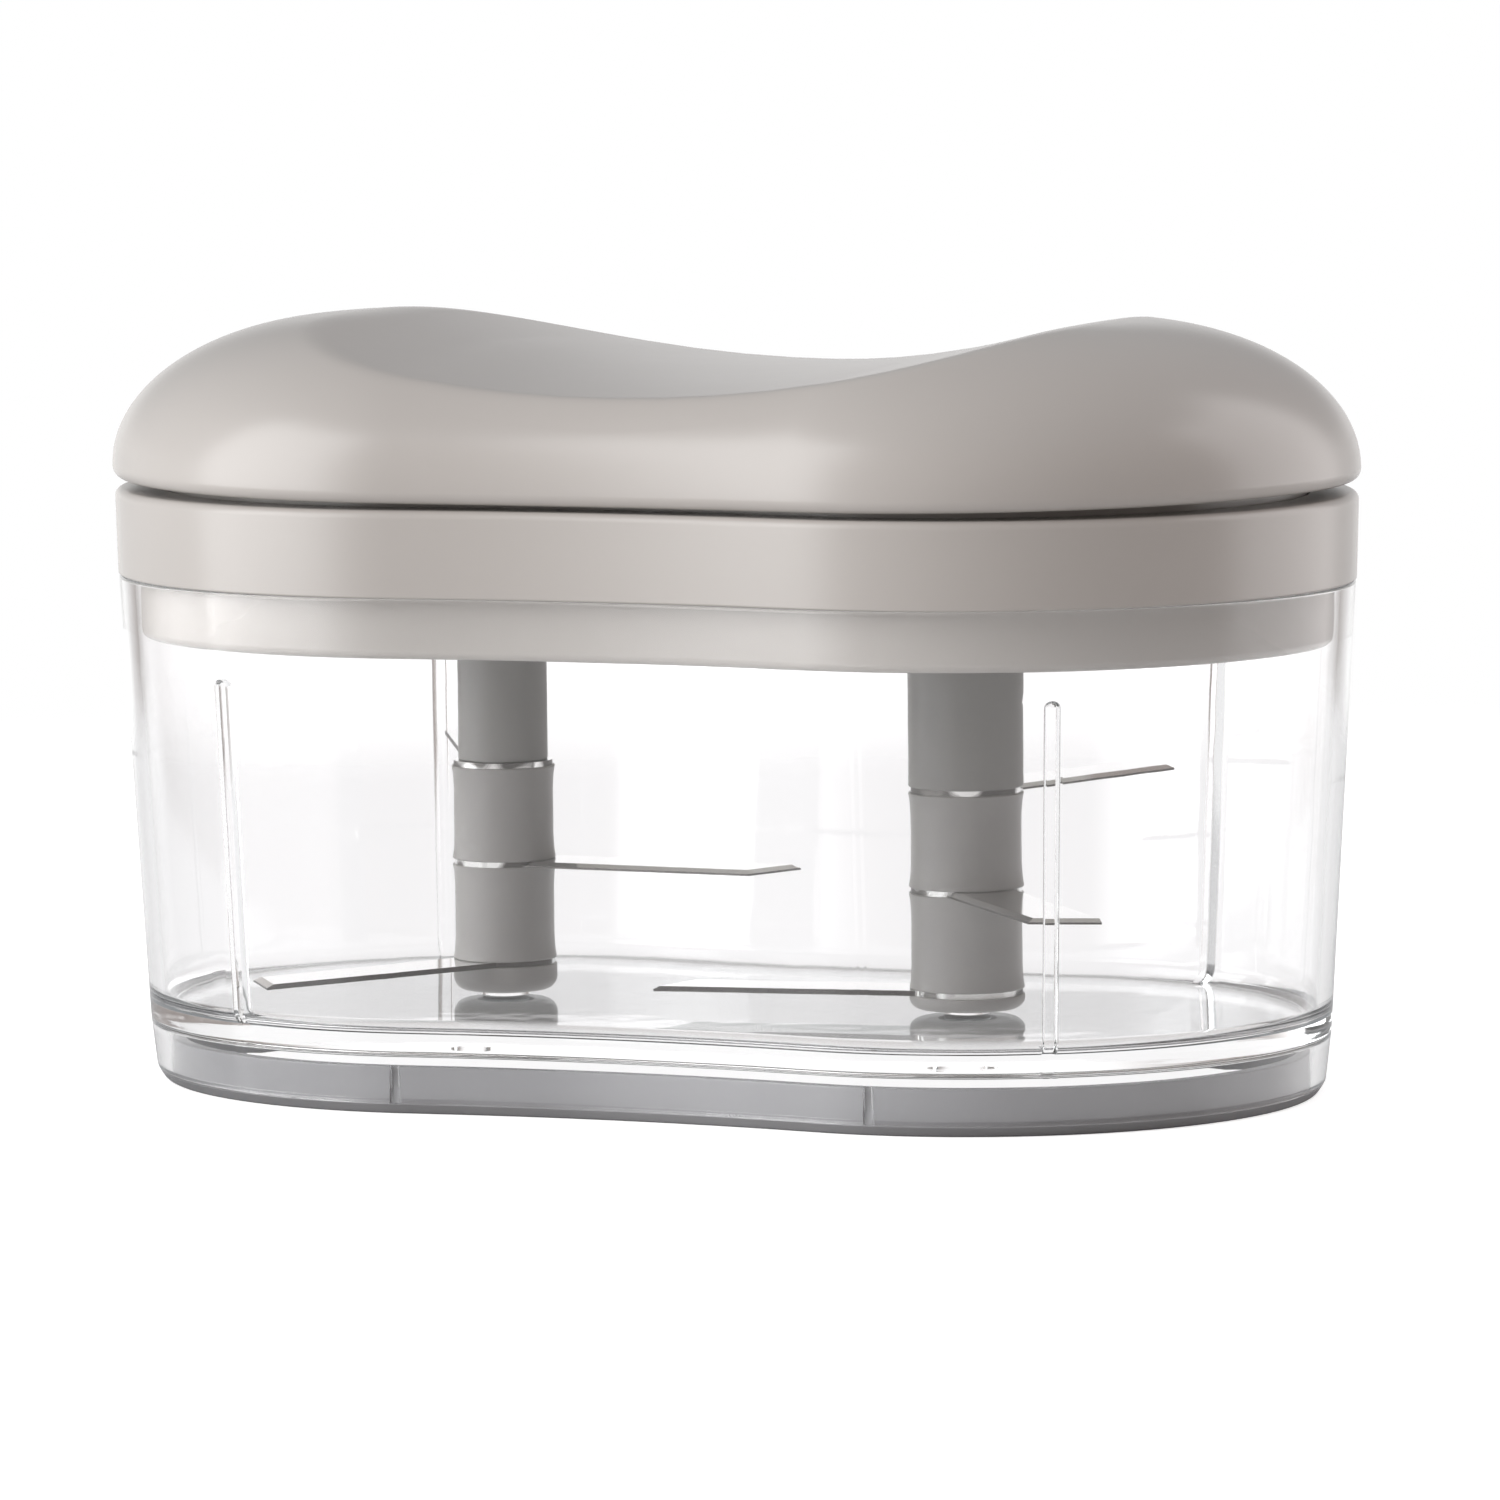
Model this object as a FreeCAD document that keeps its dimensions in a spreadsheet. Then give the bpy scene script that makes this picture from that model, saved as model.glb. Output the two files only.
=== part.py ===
import FreeCAD, Part
import Sketcher
import math
import os

# Push-down garlic chopper with two blade shafts in a peanut-shaped bowl.
# Millimetres. The bowl's long axis is X, up is Z, and the origin is at the middle of the base.
# The cover is modelled pressed down, as it is stored.

Vector = FreeCAD.Vector
Placement = FreeCAD.Placement
Rotation = FreeCAD.Rotation

doc = FreeCAD.newDocument("garlic_chopper")


# Driving dimensions

SIZES = {
    # Outline: two round lobes joined by hollow waists, all drawn from the lid ring's top edge.
    "lobe_radius": 56.3,
    "lobe_offset": 38.9,
    "waist_radius": 206.0,
    # Heights above the table
    "foot_height": 1.6,
    "seal_height": 78.2,
    "plug_top": 84.9,
    "foot_upstand": 7.0,
    "band_height": 9.2,
    "floor_height": 11.75,
    "rim_height": 76.0,
    "ring_height": 88.9,
    "plug_height": 67.0,
    "cover_height": 89.7,
    "dome_start": 92.4,
    # Insets from the outline
    "rim_inset": 0.45,
    "band_inset": 4.3,
    "foot_inset": 5.2,
    "base_inset": 6.4,
    "plug_inset": 3.6,
    "guide_inset": 5.6,
    "flange_inset": 2.0,
    "ring_foot_inset": 0.35,
    "mouth_inset": 7.2,
    "frame_inset": 7.5,
    # Jar
    "jar_wall": 2.2,
    "floor_thickness": 2.5,
    "floor_corner": 2.6,
    "key_width": 1.2,
    "key_depth": 0.8,
    "key_play": 0.2,
    "rib_width": 2.2,
    "rib_depth": 1.7,
    "rib_height": 63.0,
    "boss_radius": 3.5,
    "boss_height": 12.9,
    "pivot_radius": 2.2,
    "pivot_height": 20.5,
    # Lid
    "flange_thickness": 2.0,
    "ring_wall": 2.4,
    "ring_bevel": 0.7,
    "deck_thickness": 2.0,
    "bearing_boss_radius": 10.0,
    "mouth_play": 0.25,
    "post_radius": 3.5,
    "retainer_screw_reach": 15.0,
    "retainer_half_width": 12.0,
    "retainer_hole_radius": 5.2,
    "screw_radius": 1.5,
    "head_radius": 2.6,
    "head_height": 1.6,
    # Rotors
    "rotor_offset": 37.0,
    "rotor_foot": 13.1,
    "rotor_head": 66.4,
    "left_shaft_radius": 6.75,
    "right_shaft_radius": 8.55,
    "left_spacer_radius": 7.5,
    "right_spacer_radius": 8.25,
    "spacer_lip": 0.35,
    "spacer_lip_height": 1.2,
    "left_cap_round": 2.0,
    "right_cap_round": 1.2,
    "core_width": 7.2,
    "core_play": 0.1,
    "pivot_play": 0.06,
    "blade_thickness": 0.8,
    "blade_reach": 46.5,
    "blade_root": 5.2,
    "blade_end": 4.8,
    "blade_slant": 4.0,
    "blade_grind": 1.0,
    "blade_grind_depth": 0.5,
    "cap_floor": 0.5,
    "left_top_blade": 46.9,
    "left_mid_blade": 32.0,
    "left_low_blade": 16.9,
    "rotor_drop": 1.85,
    # Drive
    "lead": 28.0,
    "rod_radius": 2.6,
    "rod_foot": 60.5,
    "bore_radius": 2.9,
    "cross_pin_radius": 1.1,
    "cross_pin_reach": 4.1,
    "cross_pin_height": 62.4,
    "groove_radius": 4.5,
    "groove_half_height": 2.25,
    "hex_width": 10.4,
    "hex_play": 0.15,
    "hex_foot": 60.2,
    "socket_foot": 59.8,
    "journal_radius": 6.5,
    "journal_play": 0.06,
    "bush_radius": 8.2,
    "bush_height": 76.0,
    "flange_height": 78.0,
    "sleeve_flange_radius": 8.0,
    "rod_head_foot": 94.6,
    "rod_head_top": 98.4,
    "plate_height": 69.4,
    "retainer_foot": 78.1,
    "retainer_height": 79.6,
    "retainer_screw_foot": 72.0,
    # Spring
    "wire_radius": 0.7,
    "coil_radius": 9.5,
    "coil_turns": 4.0,
    "spring_seat_radius": 12.0,
    "spring_guide_radius": 7.6,
    "spring_guide_foot": 88.0,
    # Cover
    "shell_wall": 2.4,
    "cover_overhang": 0.3,
    "dome_reach": 35.3,
    "dome_rise": 21.9,
    "saddle_height": 106.7,
    "saddle_radius": 214.0,
    "saddle_crown_radius": 675.0,
    "shell_screw_end_reach": 66.0,
    "shell_screw_side_reach": 30.0,
    "shell_screw_height": 103.0,
    "edge_arch": 0.9,
    "frame_foot": 70.4,
    "frame_ceiling": 93.6,
    "frame_height": 96.0,
    "frame_wall": 1.8,
    "lip_height": 1.8,
}

sheet = doc.addObject("Spreadsheet::Sheet", "Sizes")
for row, (alias, number) in enumerate(SIZES.items(), start=1):
    sheet.set(f"A{row}", alias)
    sheet.set(f"B{row}", str(number))
    sheet.setAlias(f"B{row}", alias)
doc.recompute()


class Size:
    """A length that knows both its value and the sheet formula that gives it."""

    def __init__(self, value, formula):
        self.value = value
        self.formula = formula

    def __add__(self, other):
        other = as_size(other)
        return Size(self.value + other.value, f"({self.formula} + {other.formula})")

    def __sub__(self, other):
        other = as_size(other)
        return Size(self.value - other.value, f"({self.formula} - {other.formula})")

    def __mul__(self, other):
        other = as_size(other)
        return Size(self.value * other.value, f"({self.formula} * {other.formula})")

    def __neg__(self):
        return Size(-self.value, f"(-1 * {self.formula})")

    def __radd__(self, other):
        return as_size(other) + self

    def __rsub__(self, other):
        return as_size(other) - self

    def __rmul__(self, other):
        return as_size(other) * self


def as_size(number):
    if isinstance(number, Size):
        return number
    return Size(float(number), f"({float(number):.6f})")


def size(alias):
    return Size(SIZES[alias], f"Sizes.{alias}")


def bind(item, name, length):
    """Set one property and tie it to the sheet."""
    length = as_size(length)
    item.setExpression(name, length.formula)


# Parametric building blocks

def new_body(name, place=None):
    body = doc.addObject("PartDesign::Body", name)
    body.Label = name
    body.Placement = place or Placement()
    return body


def new_sketch(body, role, name, height=0.0, turn=None):
    """A sketch on one of the body's own origin planes, lifted by height along its normal."""
    plane = [item for item in body.Origin.OriginFeatures if item.Role == role][0]
    sketch = body.newObject("Sketcher::SketchObject", name)
    sketch.AttachmentSupport = [(plane, "")]
    sketch.MapMode = "FlatFace"
    height = as_size(height)
    sketch.AttachmentOffset = Placement(Vector(0, 0, height.value), turn or Rotation())
    bind(sketch, "AttachmentOffset.Base.z", height)
    return sketch


def fix_number(sketch, constraint, name, length):
    """Add a dimension to a sketch and tie it to the sheet."""
    index = sketch.addConstraint(constraint)
    sketch.renameConstraint(index, name)
    bind(sketch, f"Constraints.{name}", length)


def draw_peanut(sketch, inset):
    """The bowl's outline, drawn in by inset: two lobe arcs and two waist arcs, all tangent."""
    inset = as_size(inset)
    lobe = size("lobe_radius") - inset
    waist = size("waist_radius") + inset
    centre = size("lobe_offset")
    waist_y = math.sqrt((lobe.value + waist.value) ** 2 - centre.value ** 2)
    lean = math.atan2(waist_y, centre.value)
    normal = Vector(0, 0, 1)

    def arc(x, y, radius, start, end):
        circle = Part.Circle(Vector(x, y, 0), normal, radius)
        return sketch.addGeometry(Part.ArcOfCircle(circle, start, end))

    right = arc(centre.value, 0, lobe.value, lean - math.pi, math.pi - lean)
    top = arc(0, waist_y, waist.value, math.pi + lean, 2 * math.pi - lean)
    left = arc(-centre.value, 0, lobe.value, lean, 2 * math.pi - lean)
    bottom = arc(0, -waist_y, waist.value, lean, math.pi - lean)
    add = sketch.addConstraint
    add(Sketcher.Constraint("PointOnObject", right, 3, -1))
    add(Sketcher.Constraint("PointOnObject", left, 3, -1))
    add(Sketcher.Constraint("Tangent", right, 2, top, 2))
    add(Sketcher.Constraint("Tangent", top, 1, left, 1))
    add(Sketcher.Constraint("Tangent", left, 2, bottom, 2))
    add(Sketcher.Constraint("Tangent", bottom, 1, right, 1))
    fix_number(sketch, Sketcher.Constraint("DistanceX", -1, 1, right, 3, centre.value),
               "right_centre", centre)
    fix_number(sketch, Sketcher.Constraint("DistanceX", left, 3, -1, 1, centre.value),
               "left_centre", centre)
    for name, index, radius in (("right_lobe", right, lobe), ("left_lobe", left, lobe),
                                ("top_waist", top, waist), ("bottom_waist", bottom, waist)):
        fix_number(sketch, Sketcher.Constraint("Radius", index, radius.value), name, radius)
    return sketch


def peanut_sketch(body, name, inset, height):
    return draw_peanut(new_sketch(body, "XY_Plane", name, height), inset)


def draw_circle(sketch, x, y, radius, name="circle"):
    x, y, radius = as_size(x), as_size(y), as_size(radius)
    circle = Part.Circle(Vector(x.value, y.value, 0), Vector(0, 0, 1), radius.value)
    index = sketch.addGeometry(circle)
    pin_point(sketch, index, 3, x, y, f"{name}_")
    fix_number(sketch, Sketcher.Constraint("Radius", index, radius.value), f"{name}_r", radius)


def arc_through(start, middle, end):
    """An arc through three points, always drawn anticlockwise, and whether it starts at start."""
    circle = Part.Arc(start, middle, end).toShape().Curve
    centre = circle.Center
    forward = (middle - start).cross(end - middle).z > 0
    first, last = (start, end) if forward else (end, start)
    angles = [math.atan2(point.y - centre.y, point.x - centre.x) for point in (first, last)]
    if angles[1] <= angles[0]:
        angles[1] += 2 * math.pi
    level = Part.Circle(centre, Vector(0, 0, 1), circle.Radius)
    return Part.ArcOfCircle(level, angles[0], angles[1]), forward


def draw_outline(sketch, points, bulges=None, name="p"):
    """A closed outline through points. bulges gives a side's arc a middle point by its index."""
    points = [(as_size(x), as_size(y)) for x, y in points]
    bulges = bulges or {}
    sides = []
    for index, (x, y) in enumerate(points):
        next_x, next_y = points[(index + 1) % len(points)]
        start = Vector(x.value, y.value, 0)
        end = Vector(next_x.value, next_y.value, 0)
        if index not in bulges:
            sides.append((sketch.addGeometry(Part.LineSegment(start, end)), True))
            continue
        mid_x, mid_y = (as_size(number) for number in bulges[index])
        middle = Vector(mid_x.value, mid_y.value, 0)
        curve, forward = arc_through(start, middle, end)
        side = sketch.addGeometry(curve)
        sides.append((side, forward))
        point = sketch.addGeometry(Part.Point(middle), True)
        pin_point(sketch, point, 1, mid_x, mid_y, f"{name}{index}mid")
        sketch.addConstraint(Sketcher.Constraint("PointOnObject", point, 1, side))
    for index, (side, forward) in enumerate(sides):
        next_side, next_forward = sides[(index + 1) % len(sides)]
        sketch.addConstraint(Sketcher.Constraint(
            "Coincident", side, 2 if forward else 1, next_side, 1 if next_forward else 2))
    for index, (x, y) in enumerate(points):
        side, forward = sides[index]
        pin_point(sketch, side, 1 if forward else 2, x, y, f"{name}{index}")


def pin_point(sketch, item, vertex, x, y, name):
    """Fix one point of a sketch by its two distances from the origin."""
    for label, kind, place, axis in (("x", "DistanceX", x, -2), ("y", "DistanceY", y, -1)):
        if abs(place.value) < 1e-9:
            sketch.addConstraint(Sketcher.Constraint("PointOnObject", item, vertex, axis))
            continue
        fix_number(sketch, Sketcher.Constraint(kind, -1, 1, item, vertex, place.value),
                   f"{name}{label}", place)


def volume(body):
    doc.recompute()
    return body.Shape.Volume


def add_feature(body, kind, name, grows, **values):
    """Add one feature, and stop if it adds or removes nothing."""
    before = body.Shape.Volume if body.Tip else 0.0
    feature = body.newObject(f"PartDesign::{kind}", name)
    for key, value in values.items():
        if isinstance(value, Size):
            bind(feature, key, value)
        else:
            setattr(feature, key, value)
    after = volume(body)
    if feature.State and "Invalid" in feature.State:
        raise RuntimeError(f"{body.Name}.{name} failed")
    if (after > before + 1e-6) != grows or abs(after - before) < 1e-6:
        raise RuntimeError(f"{body.Name}.{name} changed the volume from {before} to {after}")
    return feature


def pad(body, name, sketch, height, **values):
    return add_feature(body, "Pad", name, True, Profile=sketch, Length=as_size(height), **values)


def cut_up(body, name, sketch, height, **values):
    """Cut from the sketch upwards."""
    return add_feature(body, "Pocket", name, False, Profile=sketch, Length=as_size(height),
                       Reversed=True, **values)


def turn_profile(body, name, sketch):
    return add_feature(body, "Revolution", name, True, Profile=sketch,
                       ReferenceAxis=(sketch, ["V_Axis"]), Angle=360.0)


def loft(body, name, sketches, cuts=False):
    kind = "SubtractiveLoft" if cuts else "AdditiveLoft"
    return add_feature(body, kind, name, not cuts, Profile=sketches[0],
                       Sections=sketches[1:], Ruled=True)


def edges_where(body, test):
    """Names of the edges of a body's last feature that pass a test."""
    names = []
    for index, edge in enumerate(body.Tip.Shape.Edges, start=1):
        middle = edge.valueAt((edge.FirstParameter + edge.LastParameter) / 2)
        if test(middle, edge):
            names.append(f"Edge{index}")
    return names


def edge_at_height(height):
    """A test for the edges that lie level at one height."""
    height = as_size(height).value

    def test(middle, edge):
        box = edge.BoundBox
        return abs(middle.z - height) < 0.01 and box.ZLength < 0.02

    return test


def cylinder(name, radius, foot, height, x=0.0, y=0.0):
    """A plain upright cylinder from foot to height."""
    item = doc.addObject("Part::Cylinder", name)
    item.Label = name
    bind(item, "Radius", radius)
    bind(item, "Height", as_size(height) - foot)
    item.Placement = Placement(Vector(0, 0, 0), Rotation())
    for axis, place in (("x", x), ("y", y), ("z", foot)):
        bind(item, f"Placement.Base.{axis}", place)
    return item


def fuse(name, items):
    item = doc.addObject("Part::MultiFuse", name)
    item.Label = name
    item.Shapes = items
    return item


def cut(name, base, tool):
    item = doc.addObject("Part::Cut", name)
    item.Label = name
    item.Base = base
    item.Tool = tool
    return item


# The left and right rotor, by the sign of their X
SIDES = ((-1, "left"), (1, "right"))


# Jar: one clear moulding with four upright ribs, a raised floor and two pivots

# Where the ribs and the skirt's keys stand on the right lobe, in degrees from its centre's +X.
# The left lobe has them half a turn round the bowl's middle.
RIB_ANGLES = (-57.9, 65.3)
KEY_ANGLES = (-88.3, 95.8)


def inset_at(height):
    """How far the jar's outer wall has come in from the outline at one height."""
    rim, band = SIZES["rim_inset"], SIZES["band_inset"]
    share = (SIZES["rim_height"] - height) / (SIZES["rim_height"] - SIZES["band_height"])
    return rim + (band - rim) * share


def make_jar():
    body = new_body("jar")
    wall = size("jar_wall")
    floor = size("floor_height")
    underside = floor - size("floor_thickness")
    loft(body, "wall_outside", [
        peanut_sketch(body, "band_outline", size("band_inset"), size("band_height")),
        peanut_sketch(body, "rim_outline", size("rim_inset"), size("rim_height"))])
    loft(body, "band_outside", [
        peanut_sketch(body, "foot_outline", size("foot_inset"), size("foot_height")),
        peanut_sketch(body, "band_outline_again", size("band_inset"), size("band_height"))])
    corner = size("floor_corner")
    inside = []
    for index, angle in enumerate((0, 30, 60, 90)):
        height = floor + corner * (1 - math.cos(math.radians(angle)))
        inset = wall + inset_at(height.value) + corner * (1 - math.sin(math.radians(angle)))
        inside.append(peanut_sketch(body, f"inside_corner_{index}", inset, height))
    inside.append(peanut_sketch(body, "rim_inside", wall + size("rim_inset"), size("rim_height")))
    loft(body, "inside", inside, cuts=True)
    loft(body, "under_floor", [
        peanut_sketch(body, "foot_inside", wall + size("foot_inset"), size("foot_height")),
        peanut_sketch(body, "under_floor_outline", wall + inset_at(underside.value), underside)],
        cuts=True)
    foot = size("foot_height")
    keys = skirt_key_sketch(body, 0.0)
    pad(body, "skirt_keys_pad", keys, size("foot_upstand") - foot)
    for side, name in SIDES:
        for index, angle in enumerate(RIB_ANGLES):
            add_wall_rib(body, f"rib_{name}_{index}", side, angle if side > 0 else 180 + angle)
        add_pivot(body, side, name)
    return body


def add_wall_rib(body, name, side, angle):
    """One upright rib on the inside wall, with a flat crest and a half-round top. The sketch
    leans with the wall's draft, with its own X along the wall and its Y up the wall."""
    out = Vector(math.cos(math.radians(angle)), math.sin(math.radians(angle)), 0)
    draft = (inset_at(0.0) - inset_at(100.0)) / 100.0
    along = Vector(-out.y, out.x, 0)
    up = (out * draft + Vector(0, 0, 1)).normalize()
    height = size("rib_height")
    wall = size("jar_wall")
    crest = size("lobe_radius") - wall - inset_at(height.value) - size("rib_depth")
    sketch = new_sketch(body, "XY_Plane", name, height)
    sketch.AttachmentOffset = Placement(Vector(), Rotation(along, up, along.cross(up), "ZXY"))
    bind(sketch, "AttachmentOffset.Base.x", size("lobe_offset") * side + crest * out.x)
    bind(sketch, "AttachmentOffset.Base.y", crest * out.y)
    bind(sketch, "AttachmentOffset.Base.z", height)
    half = size("rib_width") * 0.5
    foot = size("floor_height") - 0.5 - height
    draw_outline(sketch, [(-half, foot), (half, foot), (half, -half), (-half, -half)],
                 bulges={2: (0, as_size(0.0))})
    pad(body, name + "_pad", sketch, size("rib_depth") + wall * 0.5)


def add_pivot(body, side, name):
    """A low boss on the floor, and on it the post that one rotor stands and turns on."""
    x = size("rotor_offset") * side
    foot = size("floor_height") - 0.5
    boss = new_sketch(body, "XY_Plane", f"boss_{name}", foot)
    draw_circle(boss, x, 0, size("boss_radius"))
    pad(body, f"boss_{name}_pad", boss, size("boss_height") - foot)
    pivot = new_sketch(body, "XY_Plane", f"pivot_{name}", size("boss_height"))
    draw_circle(pivot, x, 0, size("pivot_radius"))
    pad(body, f"pivot_{name}_pad", pivot, size("pivot_height") - size("boss_height"))


def skirt_key_sketch(body, play):
    """The four small keys inside the skirt that locate the foot ring, or with play its notches."""
    sketch = new_sketch(body, "XY_Plane", "skirt_keys", size("foot_height"))
    half = size("key_width") * 0.5 + play
    skirt = size("lobe_radius") - size("foot_inset") - size("jar_wall")
    outside = skirt + size("jar_wall") * 0.5
    inside = skirt - size("key_depth") - play
    for side, hand in SIDES:
        for index, angle in enumerate(KEY_ANGLES):
            turn = math.radians(angle)
            out_x, out_y = math.cos(turn) * side, math.sin(turn) * side
            corners = [(size("lobe_offset") * side + reach * out_x - across * out_y,
                        reach * out_y + across * out_x)
                       for reach, across in ((inside, -half), (outside, -half),
                                             (outside, half), (inside, half))]
            draw_outline(sketch, corners, name=f"{hand}_{index}")
    return sketch


def make_foot_ring():
    """The soft grey ring that the bowl stands on, pushed up inside the jar's skirt."""
    body = new_body("foot_ring")
    foot = size("foot_height")
    outside = size("foot_inset") + size("jar_wall") + 0.1
    thickness = 2.0
    loft(body, "tread_outside", [
        peanut_sketch(body, "base_outline", size("base_inset"), 0.0),
        peanut_sketch(body, "tread_outline", size("foot_inset") + 0.1, foot)])
    upstand = peanut_sketch(body, "upstand_outline", outside, foot)
    pad(body, "upstand", upstand, size("foot_upstand") - foot)
    inside = peanut_sketch(body, "ring_inside", outside + thickness, 0.0)
    cut_up(body, "ring_inside_cut", inside, size("foot_upstand"))
    notches = skirt_key_sketch(body, size("key_play"))
    cut_up(body, "key_notches_cut", notches, size("foot_upstand") - foot)
    return body


# Lid: a plug that fills the jar's mouth, a ring that shows, and a gasket between them

def make_lid_plug():
    body = new_body("lid_plug")
    foot = size("plug_height")
    plate = size("plate_height")
    flange_foot = size("seal_height")
    top = size("plug_top")
    outside = peanut_sketch(body, "plug_outline", size("plug_inset"), foot)
    pad(body, "plug", outside, top - foot)
    flange = peanut_sketch(body, "flange_outline", size("flange_inset"), flange_foot)
    pad(body, "flange", flange, size("flange_thickness"))
    inside = peanut_sketch(body, "guide_outline", size("guide_inset"), plate)
    cut_up(body, "inside", inside, top - plate)
    bosses = new_sketch(body, "XY_Plane", "bearing_bosses", plate)
    seats = new_sketch(body, "XY_Plane", "bush_seats", plate)
    mouths = new_sketch(body, "XY_Plane", "sleeve_mouths", foot)
    for side, name in SIDES:
        x = size("rotor_offset") * side
        draw_circle(bosses, x, 0, size("bearing_boss_radius"), name)
        draw_circle(seats, x, 0, size("bush_radius"), name)
        draw_circle(mouths, x, 0, size("journal_radius") + size("mouth_play"), name)
    pad(body, "bearing_bosses_pad", bosses, size("bush_height") - plate)
    cut_up(body, "bush_seats_cut", seats, size("bush_height") - plate)
    cut_up(body, "sleeve_mouths_cut", mouths, plate - foot)
    posts = new_sketch(body, "XY_Plane", "plate_posts", plate)
    pilots = new_sketch(body, "XY_Plane", "screw_pilots", plate + 1.0)
    draw_circle(posts, 0, 0, size("spring_seat_radius"), "spring_seat")
    for index, (x, y) in enumerate(retainer_screw_places()):
        draw_circle(posts, x, y, size("post_radius"), f"post{index}")
        draw_circle(pilots, x, y, size("screw_radius") - 0.15, f"pilot{index}")
    pad(body, "plate_posts_pad", posts, size("retainer_foot") - plate)
    cut_up(body, "screw_pilots_cut", pilots, size("retainer_foot") - plate)
    hollow = new_sketch(body, "XY_Plane", "spring_seat_hollow", plate)
    draw_circle(hollow, 0, 0, size("spring_guide_radius"))
    cut_up(body, "spring_seat_hollow_cut", hollow, size("retainer_foot") - plate)
    return body


def retainer_screw_places():
    """One screw beyond each bearing, on the bowl's long middle line."""
    reach = size("rotor_offset") + size("retainer_screw_reach")
    return [(-reach, 0), (reach, 0)]


def make_lid_ring():
    body = new_body("lid_ring")
    rim = size("rim_height")
    top = size("ring_height")
    shoulder = size("seal_height") + size("flange_thickness")
    deck = top - size("deck_thickness")
    loft(body, "ring_outside", [
        peanut_sketch(body, "ring_foot_outline", size("ring_foot_inset"), rim),
        peanut_sketch(body, "ring_top_outline", 0.0, top)])
    skirt = peanut_sketch(body, "skirt_inside", size("flange_inset") - 0.1, rim)
    cut_up(body, "skirt_inside_cut", skirt, shoulder - rim)
    inside = peanut_sketch(body, "ring_inside", size("ring_wall"), shoulder)
    cut_up(body, "ring_inside_cut", inside, deck - shoulder)
    mouth = peanut_sketch(body, "mouth_outline", size("mouth_inset"), deck)
    cut_up(body, "mouth_cut", mouth, top - deck)
    edges = edges_where(body, outer_edge_at(top))
    add_feature(body, "Chamfer", "top_edge", False, Base=(body.Tip, edges),
                Size=size("ring_bevel"))
    return body


def outer_edge_at(height):
    """A test for the outermost level edges at one height, told by their distance from the axes."""
    level = edge_at_height(height)

    def test(middle, edge):
        box = edge.BoundBox
        far = max(abs(box.XMin), abs(box.XMax)) > SIZES["lobe_offset"] + SIZES["lobe_radius"] - 1.5
        waist = max(abs(box.YMin), abs(box.YMax)) > SIZES["lobe_radius"] - 2.0
        return level(middle, edge) and (far or waist)

    return test


def make_lid_seal():
    body = new_body("lid_seal")
    rim = size("rim_height")
    outside = peanut_sketch(body, "seal_outside", size("flange_inset") + 0.15, rim)
    pad(body, "seal", outside, size("seal_height") - rim)
    inside = peanut_sketch(body, "seal_inside", size("plug_inset") - 0.15, rim)
    cut_up(body, "seal_inside_cut", inside, size("seal_height") - rim)
    return body


def make_bush(name, side):
    """An acetal bush pressed into the lid's bearing boss."""
    x = size("rotor_offset") * side
    plate, top = size("plate_height"), size("bush_height")
    outside = cylinder(name + "_outside", size("bush_radius"), plate, top, x=x)
    bore = cylinder(name + "_bore", size("journal_radius") + size("journal_play"), plate, top, x=x)
    return cut(name, outside, bore)


def make_retainer_plate():
    """The steel plate that keeps both drive sleeves down and seats the return spring."""
    body = new_body("retainer_plate")
    foot = size("retainer_foot")
    reach = size("rotor_offset") + size("retainer_screw_reach")
    half = size("retainer_half_width")
    sketch = new_sketch(body, "XY_Plane", "plate_outline", foot)
    draw_outline(sketch, [(reach, -half), (reach, half), (-reach, half), (-reach, -half)],
                 bulges={0: (reach + half, 0), 2: (-reach - half, 0)})
    for side, name in SIDES:
        draw_circle(sketch, size("rotor_offset") * side, 0, size("retainer_hole_radius"), name)
    draw_circle(sketch, 0, 0, size("spring_guide_radius"), "middle")
    for index, (x, y) in enumerate(retainer_screw_places()):
        draw_circle(sketch, x, y, size("screw_radius") + 0.2, f"hole{index}")
    pad(body, "plate", sketch, size("retainer_height") - foot)
    return body


def screws(name, places, foot, seat, head_up=True):
    """A group of like screws as separate solids: a round shank and a pan head on its seat."""
    group = []
    for index, (x, y) in enumerate(places):
        head_end = seat + size("head_height") if head_up else seat - size("head_height")
        low, high = (foot, seat) if head_up else (seat, foot)
        shank = cylinder(f"{name}_shank_{index}", size("screw_radius") - 0.15, low, high, x=x, y=y)
        low, high = (seat, head_end) if head_up else (head_end, seat)
        head = cylinder(f"{name}_head_{index}", size("head_radius"), low, high, x=x, y=y)
        group.append(fuse(f"{name}_{index}", [shank, head]))
    compound = doc.addObject("Part::Compound", name)
    compound.Label = name
    compound.Links = group
    return compound


# Drive: two rods with cross pins, the grooved sleeves that they turn, and the return spring

# The turn between two upright sections of a spiral groove, in degrees
GROOVE_STEP = 22.5


def make_spindle(name, side):
    """A steel rod that hangs from the cover's frame by a hexagon head, cross-drilled at its foot."""
    x = size("rotor_offset") * side
    head_foot, head_top = size("rod_head_foot"), size("rod_head_top")
    rod = cylinder(name + "_rod", size("rod_radius"), size("rod_foot"), head_foot, x=x)
    head = hexagon_bar(name + "_head", size("hex_width"), head_foot, head_top, x)
    hole = cross_pin(name + "_pin_hole", side, size("bore_radius"))
    return cut(name, fuse(name + "_whole", [rod, head]), hole)


def hexagon_bar(name, width, foot, top, x):
    """A plain upright hexagonal bar, width across its flats, with two corners on its X axis."""
    item = doc.addObject("Part::Prism", name)
    item.Label = name
    item.Polygon = 6
    bind(item, "Circumradius", width * (1 / math.sqrt(3)))
    bind(item, "Height", top - foot)
    bind(item, "Placement.Base.x", x)
    bind(item, "Placement.Base.z", foot)
    return item


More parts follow.
